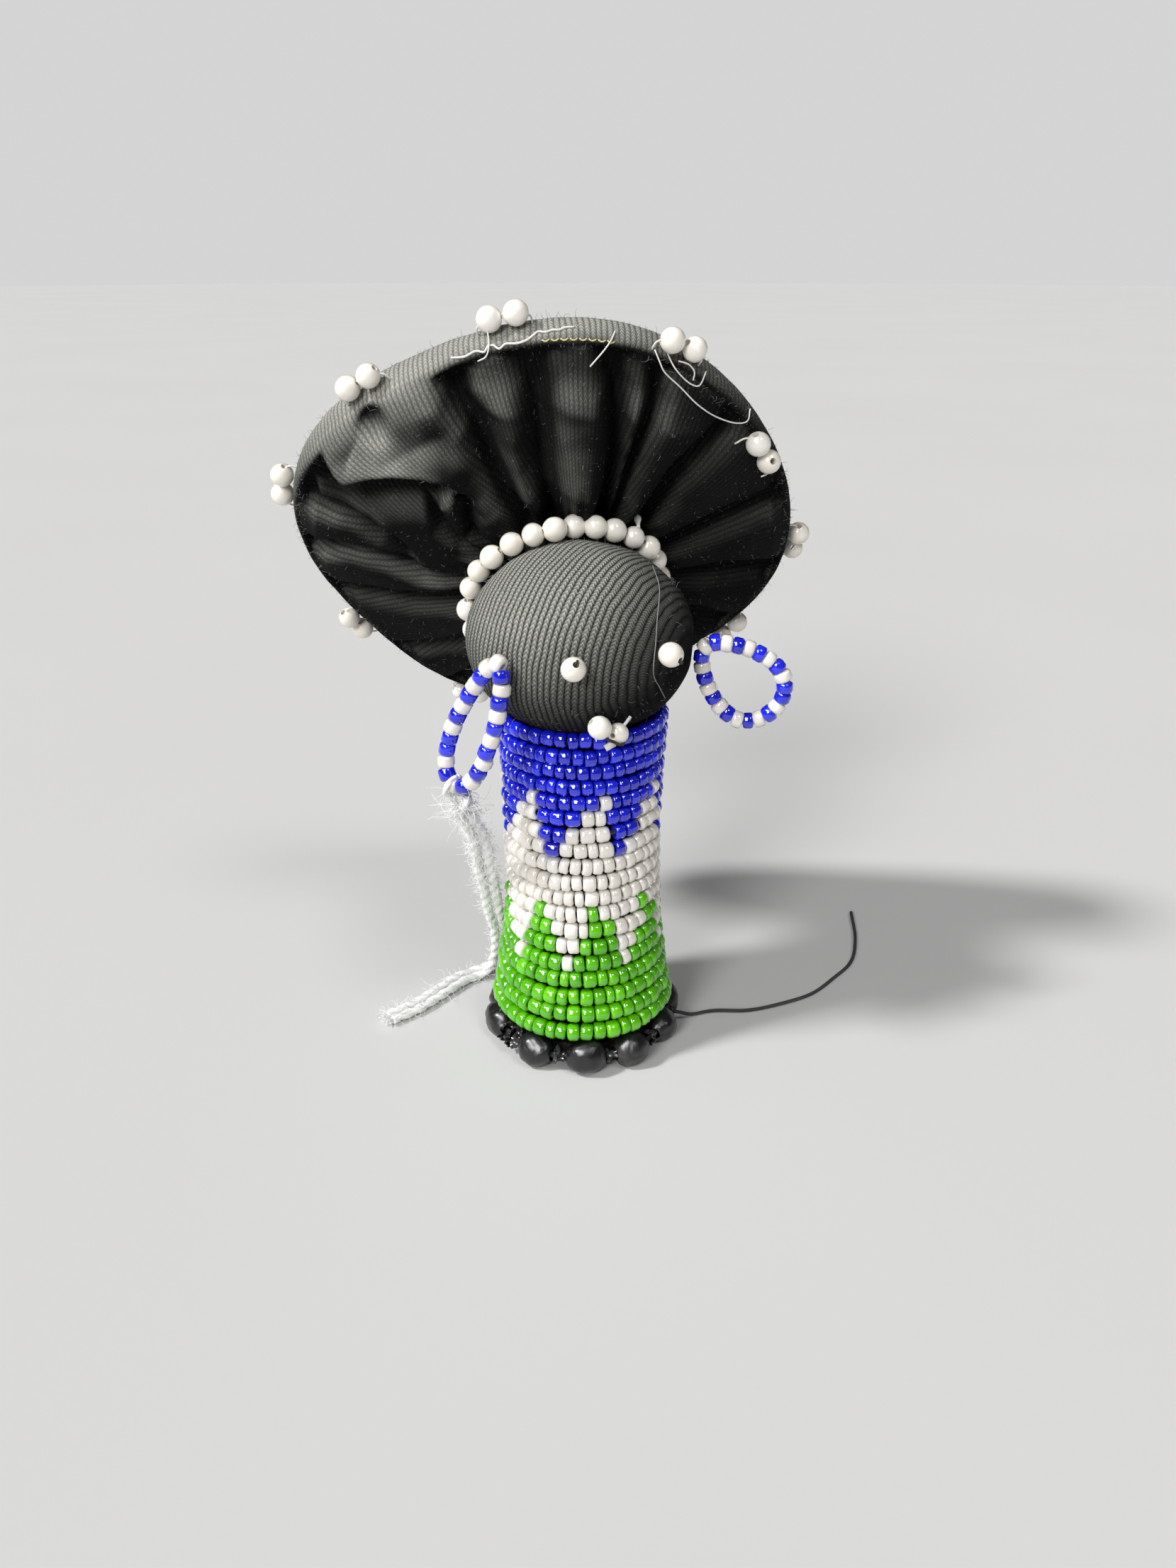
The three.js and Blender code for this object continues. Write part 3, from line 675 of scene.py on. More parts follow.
def crumpled_film(angle, size):
    """A scrap of film bunched round the thread between two beads."""
    bpy.ops.object.select_all(action="DESELECT")
    bpy.ops.mesh.primitive_cone_add(
        vertices=14,
        radius1=1.5 * size * MM,
        radius2=0.6 * size * MM,
        depth=1.3 * MM,
        end_fill_type="NOTHING",
    )
    scrap = bpy.context.object
    bpy.ops.object.mode_set(mode="EDIT")
    bpy.ops.mesh.select_all(action="SELECT")
    bpy.ops.mesh.subdivide(number_cuts=3)
    bpy.ops.object.mode_set(mode="OBJECT")
    reach = FOOT_RING + 0.4
    at = Vector((reach * math.cos(angle), reach * math.sin(angle), 2.3)) * MM
    tip_over = math.pi / 2 * (1 if size > 0.9 else -1)
    lay = Matrix.Rotation(angle, 4, "Z") @ Matrix.Rotation(tip_over, 4, "X")
    scrap.data.transform(Matrix.Translation(at) @ lay)
    displace(scrap, *CRUMPLE)
    apply_modifier(scrap, "SOLIDIFY", thickness=0.08 * MM)
    scrap.data.materials.append(black_film)
    return scrap


foot_thread = ring_thread(FOOT_RING + 0.25, 2.1, 0.4)
foot_thread.name = "foot_thread_twist"
SCRAPS = [
    (188, 1.0), (196, 1.1), (204, 0.85), (-125, 0.7), (-92, 0.55), (-58, 0.75), (-25, 0.6),
    (67, 0.8), (128, 0.8),
]
scraps = [crumpled_film(math.radians(turn), size) for turn, size in SCRAPS]
join_to(scraps[0], *scraps[1:])
scraps[0].name = "foot_film_scraps"
fix(scraps[0])
fix(foot_thread, "foot_thread")

# The thread tail: the loose end of the foot thread, half a millimetre thick and 51 mm long,
# which comes out between two beads and lies on the floor in one easy curve to its cut end.
TAIL_THICKNESS = 0.5
TAIL_ROUTE = [
    (11.6, -5.42, 2.1), (12.9, -5.4, 1.6), (14.9, -5.0, 0.5), (18.3, -5.1, 0.35),
    (23.2, -6.8, 0.35), (28.9, -7.0, 0.35), (34.1, -6.3, 0.35), (39.3, -3.8, 0.35),
    (44.2, -0.8, 0.35), (48.5, 4.8, 0.35), (52.5, 12.5, 0.35),
]


def unit(vectors):
    """Vectors, or one vector, at length 1."""
    return vectors / np.linalg.norm(vectors, axis=-1, keepdims=True)


def walk(line):
    """How far along a line each of its points lies."""
    return np.concatenate([[0], np.cumsum(np.linalg.norm(np.diff(line, axis=0), axis=1))])


def between(first, second, start, end, time):
    return (first * (end - time) + second * (time - start)) / (end - start)


def eased_line(route, step):
    """Points about a step apart on a smooth line through the route, in millimetres."""
    knots = np.array(route, float)
    knots = np.vstack([2 * knots[0] - knots[1], knots, 2 * knots[-1] - knots[-2]])
    line = []
    for index in range(len(knots) - 3):
        a, b, c, d = knots[index : index + 4]
        ta, tb, tc, td = np.cumsum(
            [0] + [math.sqrt(np.linalg.norm(span)) for span in (b - a, c - b, d - c)]
        )
        count = max(2, round(np.linalg.norm(c - b) / step))
        for time in np.linspace(tb, tc, count, endpoint=False):
            middle = between(b, c, tb, tc, time)
            early = between(between(a, b, ta, tb, time), middle, ta, tc, time)
            late = between(middle, between(c, d, tc, td, time), tb, td, time)
            line.append(between(early, late, tb, tc, time))
    line.append(knots[-2])
    return np.array(line)


def frames_along(line):
    """Two directions across each point of a line, carried along it without twist."""
    along = unit(np.gradient(line, axis=0))
    side = np.cross(along[0], (0.3, 0.5, 0.8))
    sides = []
    for direction in along:
        side = unit(side - direction * (side @ direction))
        sides.append(side)
    sides = np.array(sides)
    return sides, np.cross(along, sides)


def mesh_piece(name, points, faces, material):
    mesh = bpy.data.meshes.new(name)
    mesh.from_pydata((np.asarray(points) * MM).tolist(), [], faces)
    mesh.polygons.foreach_set("use_smooth", np.ones(len(mesh.polygons), bool))
    mesh.materials.append(material)
    piece = bpy.data.objects.new(name, mesh)
    bpy.context.scene.collection.objects.link(piece)
    return piece


def skin_faces(rings, sides, first=0):
    """Faces over rings of points, from each ring to the next, with the last ring closed."""
    faces = []
    for ring in range(rings - 1):
        here = first + ring * sides
        for side in range(sides):
            turn = (side + 1) % sides
            faces.append((here + side, here + turn, here + sides + turn, here + sides + side))
    faces.append(tuple(first + (rings - 1) * sides + side for side in range(sides)))
    return faces


def tube_skin(line, radii, first=0):
    """Points and faces of a tube round a line. Radii has a row for each point and a column for each
    side, and first is the number of the tube's first point."""
    count, sides = radii.shape
    across, upward = frames_along(line)
    angles = 2 * math.pi * np.arange(sides) / sides
    wide = np.cos(angles)[None, :, None] * across[:, None]
    high = np.sin(angles)[None, :, None] * upward[:, None]
    points = line[:, None] + (wide + high) * radii[:, :, None]
    start = tuple(first + side for side in reversed(range(sides)))
    return points.reshape(-1, 3), [*skin_faces(count, sides, first), start]


def tube_piece(name, line, radii, material):
    return mesh_piece(name, *tube_skin(line, radii), material)


def lay_cord(piece, line, diameter, **more):
    """Works out where a cord comes out and its route in metres, and keeps neither."""
    tuple(line[0] * MM)
    (line * MM).tolist()


tail_line = eased_line(TAIL_ROUTE, 0.5)
tail_radii = np.full((len(tail_line), 8), TAIL_THICKNESS / 2)
tail = tube_piece("thread_tail_cord", tail_line, tail_radii, black_thread)
fix(tail, "thread_tail")
lay_cord(tail, tail_line, TAIL_THICKNESS * MM)

# The head: black jersey pulled tight over a ball of wadding and tied in under the top bead row.
# The knit runs in hoops about the left temple, and the cloth dips where a pearl is sewn down.
HEAD_MIDDLE = np.array([-0.48, -0.86, 57.575])
band_back = np.array([0.115, 0.888, 0.446])  # the way from the head's middle to the hat
HEAD_RADIUS = 14.2
HEAD_RISE = 11.8
HEAD_DROP = 11.83
NECK_RADIUS = 7.865
NECK_BOTTOM = 46.725
WALE = 0.76
HEAD_COURSES = 150
# the way towards the lamps, along which light is painted on the head
HEAD_LIGHT_WAY = (-0.55, -0.25, 0.80)
DIP_DEPTH = 0.45
DIP_WIDTH = 1.9
LUMP_SCALE = 0.16
LUMP_HEIGHT = 0.28
LINT_THICKNESS = 0.028
LINT_CURL = 0.4
RUB_REACH = 5.5  # no lint so near to what an earring rubs


def on_head(direction, lift):
    """The point of the head in a direction from its middle, lifted off along its normal."""
    direction = np.asarray(direction, float)
    rise = np.where(direction[..., 2] > 0, HEAD_RISE, HEAD_DROP)
    flat = np.hypot(direction[..., 0], direction[..., 1]) / HEAD_RADIUS
    point = direction / np.hypot(flat, direction[..., 2] / rise)[..., None]
    wide = 0 * rise + HEAD_RADIUS**2
    normal = unit(point / np.stack([wide, wide, rise**2], -1))
    return point + HEAD_MIDDLE + normal * lift, normal


def head_direction(longitude, latitude):
    """A direction from the head's middle, by degrees round from the face and up from its widest."""
    turn = math.radians(longitude)
    level = math.radians(latitude)
    rise = HEAD_RISE if latitude > 0 else HEAD_DROP
    reach = HEAD_RADIUS * math.cos(level)
    return np.array([reach * math.sin(turn), -reach * math.cos(turn), rise * math.sin(level)])


def head_outline(inset, levels):
    outline = [(NECK_RADIUS - inset, NECK_BOTTOM)]
    lowest = -math.acos(NECK_RADIUS / HEAD_RADIUS)
    for level in np.linspace(lowest, math.radians(87.5), levels):
        rise = HEAD_RISE if level > 0 else HEAD_DROP
        height = HEAD_MIDDLE[2] + (rise - inset) * math.sin(level)
        outline.append(((HEAD_RADIUS - inset) * math.cos(level), height))
    return outline


def bell(away, width):
    """1 at no distance, and nearly 0 two widths away."""
    return np.exp(-((away / width) ** 2))


head_ball = turned_form("head_stuffing_ball", head_outline(1.2, 16), 32, HEAD_MIDDLE[:2])
head_ball.data.materials.append(wadding)
fix(head_ball, "head_stuffing")

EYE_LEFT = (21.5, 6.6)
EYE_RIGHT = (-23.0, 4.8)
MOUTH = (-5.8, -32.1)
EAR_LEFT = (60.6, -1.6)
EAR_RIGHT = (-57.6, 3.0)
EARRING_REST = (-55.3, -5.5)  # where the right earring swings in against the head
head = turned_form("head_jersey", head_outline(0, 44), 88, HEAD_MIDDLE[:2])
skin = places_of(head) / MM
outward = unit(skin - HEAD_MIDDLE)


def from_head_place(place):
    """How far the points of the head's cloth lie from a place on it."""
    return np.linalg.norm(skin - on_head(head_direction(*place), 0)[0], axis=1)


for stitch in (EYE_LEFT, EYE_RIGHT, MOUTH, EAR_LEFT, EAR_RIGHT, EARRING_REST):
    skin -= outward * (DIP_DEPTH * bell(from_head_place(stitch), DIP_WIDTH))[:, None]
lumps = np.array([noise.noise(Vector(place * LUMP_SCALE)) for place in skin])
skin += outward * (LUMP_HEIGHT * lumps)[:, None]
set_places(head, skin * MM)
# painted light on the side of the head that faces the lamps
paint_light_on_cloth(head, outward, np.zeros(len(skin)), HEAD_LIGHT_WAY, -0.25, 1.05)
hoop_pole = unit(head_direction(44, -8))
hoop_side = unit(np.cross(hoop_pole, (0, 0, 1)))
hoop_up = np.cross(hoop_side, hoop_pole)
from_middle = skin - HEAD_MIDDLE
hoop_turn = np.arctan2(from_middle @ hoop_up, from_middle @ hoop_side)
hoops = np.stack([hoop_turn / (2 * math.pi) * HEAD_COURSES, from_middle @ hoop_pole / WALE], 1)
map_stitches(head, hoops, HEAD_COURSES, crosswise=True)
head.data.materials.append(jersey)
fix(head, "head_cover")


def stray_fibres(name, roots, headings, lengths, thickness, curl, material):
    """Fine loose fibres that leave a yarn or a cloth and curl, as thin three-sided tubes."""
    points = []
    faces = []
    first = 0
    for root, heading, length in zip(roots, headings, lengths):
        heading = unit(heading)
        swing = chance.normal(0, 1, 3)
        steps = 3 if length < 1.2 else 6
        line = [root]
        for _ in range(steps):
            swing = swing * 0.7 + chance.normal(0, 0.6, 3)
            heading = unit(heading + curl * swing)
            line.append(line[-1] + heading * length / steps)
        line = np.array(line)
        line[:, 2] = np.maximum(line[:, 2], 0.08)
        taper = thickness * np.linspace(1, 0.45, steps + 1)
        fibre_points, fibre_faces = tube_skin(line, np.repeat(taper[:, None], 3, 1), first)
        points.append(fibre_points)
        faces.extend(fibre_faces)
        first += len(fibre_points)
    piece = mesh_piece(name, np.vstack(points), faces, material)
    mark(piece.data, "ply", np.ones(first))
    return piece


lint = mottled("grey_lint", (500.0, 2.0), (0.10, 0.10, 0.10), (0.34, 0.34, 0.33), (0.8, 0.2))


def grow_lint(name, places, normals, count, longest):
    """Short fibres that stand off a cloth at places picked by chance."""
    picks = chance.integers(0, len(places), count)
    headings = normals[picks] + chance.normal(0, 0.6, (count, 3))
    lengths = np.clip(chance.gamma(1.8, 0.22, count), 0.15, longest)
    roots = places[picks] - normals[picks] * 0.05
    fibres = stray_fibres(name, roots, headings, lengths, LINT_THICKNESS, LINT_CURL, lint)
    fix(fibres)


shown_head = (outward @ band_back < 0.55) & (skin[:, 2] > 49)
for rubbed in (EAR_LEFT, EAR_RIGHT, EARRING_REST):
    shown_head &= from_head_place(rubbed) > RUB_REACH
grow_lint("head_lint", skin[shown_head], outward[shown_head], 1000, 1.0)

# The face: two pearl eyes and a mouth of two smaller pearls, each held by a stitch of dark thread
# through its hole. They are moulded plastic with a cream pearl skin, a little out of round.
EYE_PEARL = 1.5
MOUTH_PEARL = 1.4
MOUTH_TILT = -34


def paint_pearl(base):
    """Cream pearl skin: soft gloss, warmer in patches, worn dull where it has rubbed."""
    patch = base.cloud(380.0, 3.0)
    rubbed = base.cloud(900.0, 4.0).rise(0.55, 0.8)
    warmth = base.marked("tone") * 0.5 + patch * 0.5
    skin_tone = warmth.mix((0.86, 0.79, 0.67), (0.95, 0.925, 0.87))
    return {
        "Base Color": (rubbed * 0.35).mix(skin_tone, (0.84, 0.78, 0.67)),
        "Roughness": 0.24 + rubbed * 0.3,
        "Normal": patch.bump(0.15, 0.0003),
    }


pearl = finish("cream_pearl", {"Coat Weight": 0.5, "Coat Roughness": 0.15}, paint_pearl)
pearl_model = drilled_ball("pearl_model", 20, 14, 1.0, 0.27)
pale_thread = mottled(
    "pale_thread", (1400.0, 3.0), (0.62, 0.60, 0.54), (0.85, 0.84, 0.80), (0.5, 0.3)
)


def pearl_place(at, axis, radius):
    """Where a pearl goes: its middle, the line of its hole, and its radius, a little uneven."""
    turn = Vector(axis).to_track_quat("Z", "Y").to_matrix().to_4x4()
    uneven = [radius * chance.uniform(0.96, 1.02) for _ in range(3)]
    size = Matrix.Diagonal((*uneven, 1))
    return (Matrix.Translation(Vector(at) * MM) @ turn @ size, pearl, chance.uniform(0, 1))


def thread_stub(name, line, thickness, material):
    line = np.asarray(line, float)
    return tube_piece(name, line, np.full((len(line), 6), thickness), material)


def sew(piece, route, step, thickness, thread):
    """Draws a thread through a piece, along a smooth line through the route."""
    join_to(piece, thread_stub("stitch", eased_line(route, step), thickness, thread))


camera_right = np.array(camera.matrix_basis.to_3x3() @ Vector((1, 0, 0)))
camera_up = np.array(camera.matrix_basis.to_3x3() @ Vector((0, 1, 0)))
for name, place, hole in (
    ("eye_left", EYE_LEFT, (0.35, -0.55)),
    ("eye_right", EYE_RIGHT, (0.25, 0.6)),
):
    middle, normal = on_head(head_direction(*place), EYE_PEARL + 0.1)
    lean = camera_right * hole[0] + camera_up * hole[1]
    axis = unit(normal + lean)
    eye = string_up(f"{name}_pearl", pearl_model, [pearl_place(middle, axis, EYE_PEARL)])
    across = axis * 0.25 + lean * 0.7
    stitch_line = [
        middle - axis * 1.2,
        middle + axis * (EYE_PEARL * 0.93),
        middle + axis * (EYE_PEARL * 1.02) + across * 0.35,
        middle + axis * (EYE_PEARL * 0.75) + across * 0.95,
        middle + across * 1.5 - normal * 0.9,
        middle + across * 1.3 - normal * 2.2,
    ]
    sew(eye, stitch_line, 0.2, 0.16, black_thread)
    fix(eye, name)

mouth_middle, mouth_normal = on_head(head_direction(*MOUTH), MOUTH_PEARL + 0.3)
mouth_level = unit(np.cross((0, 0, 1), mouth_normal))
tilt = Quaternion(Vector(mouth_normal), math.radians(MOUTH_TILT))
mouth_line = np.array(tilt @ Vector(mouth_level))
half = mouth_line * (MOUTH_PEARL + 0.12)
mouth_pair = [
    pearl_place(mouth_middle - half, mouth_line + mouth_normal * 0.35, MOUTH_PEARL * 1.04),
    pearl_place(mouth_middle + half, mouth_line - mouth_normal * 0.55, MOUTH_PEARL * 0.94),
]
mouth = string_up("mouth_pearls_pair", pearl_model, mouth_pair)
MOUTH_STITCH = [(-1.4, 0.5), (-0.6, 1.35), (0.4, 1.45), (1.4, 1.6), (2.1, 1.2), (2.2, 0.2)]
mouth_stitch = [mouth_middle + mouth_line * x + mouth_normal * z for x, z in MOUTH_STITCH]
sew(mouth, mouth_stitch, 0.2, 0.2, black_thread)
small_pearl = mouth_middle + half
stub_way = camera_right * 0.55 + camera_up * 0.75
chip_way = -camera_right * 0.85 - camera_up * 0.5
stub_line = small_pearl + np.outer((0.9, 1.5, 2.1, 2.7), stub_way)
chip_line = small_pearl + mouth_normal * 0.9 + np.outer((0.7, 1.4, 2.0), chip_way)
for cut_end, thickness in ((stub_line, 0.2), (chip_line, 0.42)):
    join_to(mouth, thread_stub("cut_end", cut_end, thickness, pale_thread))
fix(mouth, "mouth_pearls")

# The head band: 25 pearls on a fine pale thread, drawn round the head where the hat is gathered.
# The thread shows as short ends between a few of the pearls.
BAND_PEARL = 1.48
BAND_PEARLS = 25
BAND_SPREAD = 53.5
HEAD_THREAD = [
    (62, 52), (39, 40.7), (23.3, 25.3), (18.7, 14.1), (16.4, -4.4), (22, -14), (31.3, -24.9),
]
TAG_RISE = np.array([0.6, 1.2, 1.6, 1.9, 2.15, 2.4, 2.65, 2.85])
TAG_RADII = np.array([0.26, 0.22, 0.24, 0.36, 0.46, 0.48, 0.38, 0.16])


def axis_frame(elevation, azimuth):
    """An axis by its angles, with its own right and up."""
    level = math.radians(elevation)
    turn = math.radians(azimuth)
    reach = math.cos(level)
    axis = np.array([reach * math.sin(turn), reach * math.cos(turn), math.sin(level)])
    right = unit(np.cross(axis, (0, 0, 1)))
    return axis, right, np.cross(right, axis)


band_axis, band_right, band_up = axis_frame(26.5, 7.4)


def band_point(angles, spread, lift):
    """Points of a cone about the band's axis, on the head, lifted off it."""
    angles = np.asarray(angles, float)[..., None]
    around = np.sin(angles) * band_right + np.cos(angles) * band_up
    wide = np.radians(np.asarray(spread, float))[..., None]
    return on_head(band_axis * np.cos(wide) + around * np.sin(wide), lift)[0]


band_turns = 2 * math.pi * np.arange(BAND_PEARLS) / BAND_PEARLS
band_spread = BAND_SPREAD + chance.normal(0, 1.0, BAND_PEARLS)
band_spread[:4] += (-3.5, -1.5, -1.0, 0.5)
band_spread[-4:] += (2.0, 1.5, 1.0, -2.0)
band_middles = band_point(band_turns, band_spread, BAND_PEARL + 0.2)
band_ways = np.roll(band_middles, -1, axis=0) - np.roll(band_middles, 1, axis=0)
band_places = [
    pearl_place(middle, way, BAND_PEARL * chance.uniform(0.95, 1.05))
    for middle, way in zip(band_middles, band_ways)
]
band = string_up("head_band_pearls", pearl_model, band_places)
band_loop = np.vstack([band_middles, band_middles[:1]])
sew(band, band_loop, 0.6, 0.14, pale_thread)
fix(band, "head_band")
laid = [on_head(head_direction(*place), 0.12)[0] for place in HEAD_THREAD]
loose_thread = thread_stub("head_thread_end", eased_line(laid, 0.5), 0.06, lint)
tag_foot = band_middles[3] + camera_right * 0.75
tag_line = tag_foot + np.outer(TAG_RISE, camera_up - camera_right * 0.12)
tag_radii = np.repeat(TAG_RADII[:, None], 8, 1)
join_to(loose_thread, tube_piece("band_tag", tag_line, tag_radii, pale_thread))
fix(loose_thread)

# The hat: a sleeve of the same jersey drawn over a round of board, closed at the back and
# gathered into the head band at the front. Taut over the rim, it falls in deep folds to the neck.
HAT_MIDDLE = HEAD_MIDDLE + np.array([1.13, 15.46, 8.48])
HAT_RADIUS = 31.4
HAT_RIM_WIDTH = 4.3
NECK_ANGLE = 41.0
NECK_REACH = 9.5
HAT_COLUMNS = 440
HAT_WALES = 300
HAT_COURSE = 0.52
# the way towards the lamps, along which light is painted on the hat
HAT_LIGHT_WAY = (-0.35, -0.10, 0.93)
ROLL_WIDTH = 5.7
ROLL_HEIGHT = 5.2
POCKET_DEPTH = 6.0
POCKET_WIDTH = 3.8
# how wide the painted light on the flap is
FLAP_LIGHT_WIDTH = 7.5
CREASE_SCALE = 0.35
CREASE_HEIGHT = 0.16
PUCKER_PLACE = (math.radians(-43.4), 29.9, -2.6)
PUCKER_DEPTH = 2.6
PUCKER_WIDTH = 1.6
HAT_CLOTH = 0.5
hat_axis, hat_right, hat_up = axis_frame(32.2, 17.3)


def rim_stretch(angles):
    """The board inside was cut by hand: how far out of round the rim is, as a factor near 1."""
    wave = -0.75 * np.cos(3 * angles) - 0.06 * np.sin(3 * angles)
    return 1 + (wave + 0.55 * np.cos(4 * angles) + 0.75 * np.sin(4 * angles)) / HAT_RADIUS


def rim_point(angles, radius, depth):
    """Points of the rim: round from its top, out from its middle, and back from its front edge."""
    angles = np.asarray(angles, float)[..., None]
    reach = np.asarray(radius, float)[..., None] * rim_stretch(angles)
    around = np.sin(angles) * hat_right + np.cos(angles) * hat_up
    return HAT_MIDDLE + around * reach + hat_axis * np.asarray(depth)[..., None]


grey_board = mottled(
    "grey_board", (700.0, 6.0), (0.30, 0.23, 0.14), (0.52, 0.43, 0.29), (0.8, 0.15), (0.3, 0.0002)
)
cover_node("hat_board", grey_board)

# Folds of the front. Each is a line from the rim to the neck, in degrees round from the top and
# share of the way out, then how deep it is, and how wide before the line and past it.
FOLDS = [
    (
        [(-22, 1), (-23.6, 0.86), (-22.5, 0.73), (-25.4, 0.49), (-28.5, 0.28), (-31, 0.05)],
        5.0,
        1.3,
        2.0,
    ),
    ([(-5.3, 0.99), (-4.7, 0.82), (-5.6, 0.65), (-8.6, 0.43), (-14, 0.05)], 5.0, 1.5, 2.6),
    ([(12, 0.99), (15.1, 0.81), (16.4, 0.66), (18.7, 0.44), (22, 0.05)], 4.8, 1.0, 1.7),
    ([(23.5, 1), (25.8, 0.83), (25.4, 0.66), (26.1, 0.47), (31, 0.05)], 4.2, 0.9, 1.3),
    ([(47, 0.98), (44.5, 0.78), (42.7, 0.6), (46, 0.3), (50, 0.05)], 4.4, 1.6, 2.4),
    ([(74, 0.97), (73, 0.6), (72, 0.05)], 3.6, 2.3, 2.3),
    ([(99, 0.97), (97, 0.6), (98, 0.05)], 3.4, 2.1, 2.4),
    ([(121, 0.97), (119, 0.6), (120, 0.05)], 3.2, 2.0, 2.2),
    ([(142, 0.97), (140, 0.6), (140, 0.05)], 3.0, 2.0, 2.2),
    ([(164, 0.97), (162, 0.6), (161, 0.05)], 2.8, 2.0, 2.2),
    ([(-174, 0.97), (-175, 0.6), (-176, 0.05)], 2.8, 2.0, 2.0),
    ([(-154, 0.97), (-155, 0.6), (-156, 0.05)], 2.8, 2.0, 1.8),
    ([(-132, 1), (-134.2, 0.77), (-137, 0.54), (-137, 0.08)], 3.4, 2.0, 1.6),
    ([(-103.5, 0.97), (-105.1, 0.74), (-107, 0.55), (-106, 0.05)], 4.0, 2.4, 1.6),
    (
        [(-88, 0.99), (-85.5, 0.83), (-84.7, 0.68), (-86.1, 0.52), (-88.1, 0.37), (-89, 0.05)],
        3.8,
        1.5,
        0.9,
    ),
    (
        [(-66, 1), (-72.4, 0.91), (-71.7, 0.79), (-72.5, 0.67), (-75.6, 0.53), (-82, 0.43)],
        3.4,
        1.5,
        0.8,
    ),
    ([(-51, 0.56), (-53.7, 0.47), (-58.9, 0.35), (-63.3, 0.22), (-66, 0.06)], 3.2, 0.8, 0.8),
    ([(-41.5, 0.43), (-44.2, 0.35), (-53.4, 0.24), (-58, 0.06)], 3.0, 0.8, 0.8),
]
# The edge of a flap where the cloth doubles over, with a dark pocket under it, and places where the
# cloth swells: how far in front, and how wide.
FLAP = [
    (-57.5, 1.04), (-59.7, 0.96), (-61.4, 0.885), (-61.7, 0.835), (-57.1, 0.785), (-51.0, 0.705),
    (-45.2, 0.625), (-40.8, 0.545), (-39.3, 0.48),
]
SWELLS = [(-33, 0.66, 0.8, 5.0), (34, 0.75, 1.0, 4.5), (7, 0.66, 0.25, 5.0), (-14, 0.66, 0.4, 5.0)]


def flat_place(turn, share):
    """A place of the front as if the cloth lay flat, in millimetres."""
    radius = NECK_REACH + (HAT_RADIUS - NECK_REACH) * np.asarray(share)
    return np.stack([radius * np.sin(np.radians(turn)), radius * np.cos(np.radians(turn))], -1)


def from_line(flat, line):
    """How far places lie from a line, minus before it and plus past it, and the share along it."""
    corners = flat_place(*np.array(line).T)
    walked = walk(corners)
    nearest = np.full(len(flat), 1e6)
    side = np.ones(len(flat))
    along = np.zeros(len(flat))
    for index in range(len(corners) - 1):
        run = corners[index + 1] - corners[index]
        part = np.clip((flat - corners[index]) @ run / (run @ run), 0, 1)
        gap = flat - corners[index] - part[:, None] * run
        away = np.linalg.norm(gap, axis=1)
        closer = away < nearest
        nearest = np.where(closer, away, nearest)
        past = np.where(run[0] * gap[:, 1] > run[1] * gap[:, 0], 1, -1)
        side = np.where(closer, past, side)
        reached = walked[index] + part * (walked[index + 1] - walked[index])
        along = np.where(closer, reached / walked[-1], along)
    return nearest * side, along


def about(turns, middle, spread):
    """1 near a direction round the rim, and 0 well away from it."""
    return np.exp(-(((turns - middle) / spread) ** 4))


def fold_depth(turns, share):
    """At a share of the way out: how far the cloth stands off its mean surface, how far folds dip
    behind that, both in millimetres, how much painted shade each place gets, from 0 to 1, in folds,
    under the top of the rim and on the side away from the lamps, and how much painted light it gets
    beyond its slope, on the flap and the ridges of the top."""
    flat = flat_place(turns, share)
    depth = np.zeros_like(turns)
    for line, deep, before, past in FOLDS:
        away, _ = from_line(flat, line)
        wide = np.where(away < 0, before, past)
        depth = np.maximum(depth, deep * np.exp(-np.abs(away / wide) ** 1.6))
    away, along = from_line(flat, FLAP)
    begun = np.clip(along / 0.2, 0.3, 1)
    fade = begun * np.clip((1 - along) / 0.12, 0, 1)
    over = 1 / (1 + np.exp(-away / 0.14))
    depth = np.maximum(depth, POCKET_DEPTH * bell(away, POCKET_WIDTH) * (1 - over) * fade)
    # painted shadow of the rim on the cloth just below its top edge
    shaded = 0.6 * np.clip((share - 0.8) / 0.15, 0, 1) * about(turns, 9, 31)
    # painted shade on the right side, turned away from the lamps
    dim = 0.75 * np.clip((turns - 17) / 14, 0, 1)
    # painted shade in the folds, by how deep they are
    fold_shade = np.maximum(np.clip(depth / 3.0, 0, 1) * 0.95, np.maximum(shaded, dim))
    depth = depth - 0.5 * bell(away, 4.0) * over * fade
    # painted light on the ridges of the top
    lit = 0.50 - 0.38 * np.clip((share - 0.4) / 0.3, 0, 1)
    ridges = lit * about(turns, -14, 26) * np.clip(share / 0.12, 0, 1)
    # painted light along the flap's edge
    flap_fade = begun * np.clip((1 - along) / 0.45, 0, 1)
    pale = np.maximum(ridges, 1.05 * about(away, 0, FLAP_LIGHT_WIDTH) * over * flap_fade)
    pale = pale * np.clip((1 - share) / 0.2, 0, 1)
    for turn, middle, high, wide in SWELLS:
        away = np.linalg.norm(flat - flat_place(turn, middle), axis=1)
        depth = depth - high * bell(away, wide)
    full = 1.6 + 0.9 * about(turns, -5, 62)
    ramp = 0.09 + 0.2 * about(turns, 9, 31)
    puff = full * np.minimum(1, (1 - share) / ramp) * min(1.0, max(0.0, share) / 0.3 + 0.1)
    taut = min(1.0, max(0.0, 1 - share) / 0.045) ** 0.7
    return puff, depth * taut, fold_shade * taut, pale


def rolled_depth(radius):
    """The cloth's depth where it rolls over the rim instead of lying taut on it."""
    inner = HAT_RADIUS + 0.3 - ROLL_WIDTH
    over = np.clip((radius - inner) / ROLL_WIDTH, 0, 1)
    return 0.8 - ROLL_HEIGHT * np.sqrt(1 - over**2) - 0.336 * np.maximum(0, inner - radius)


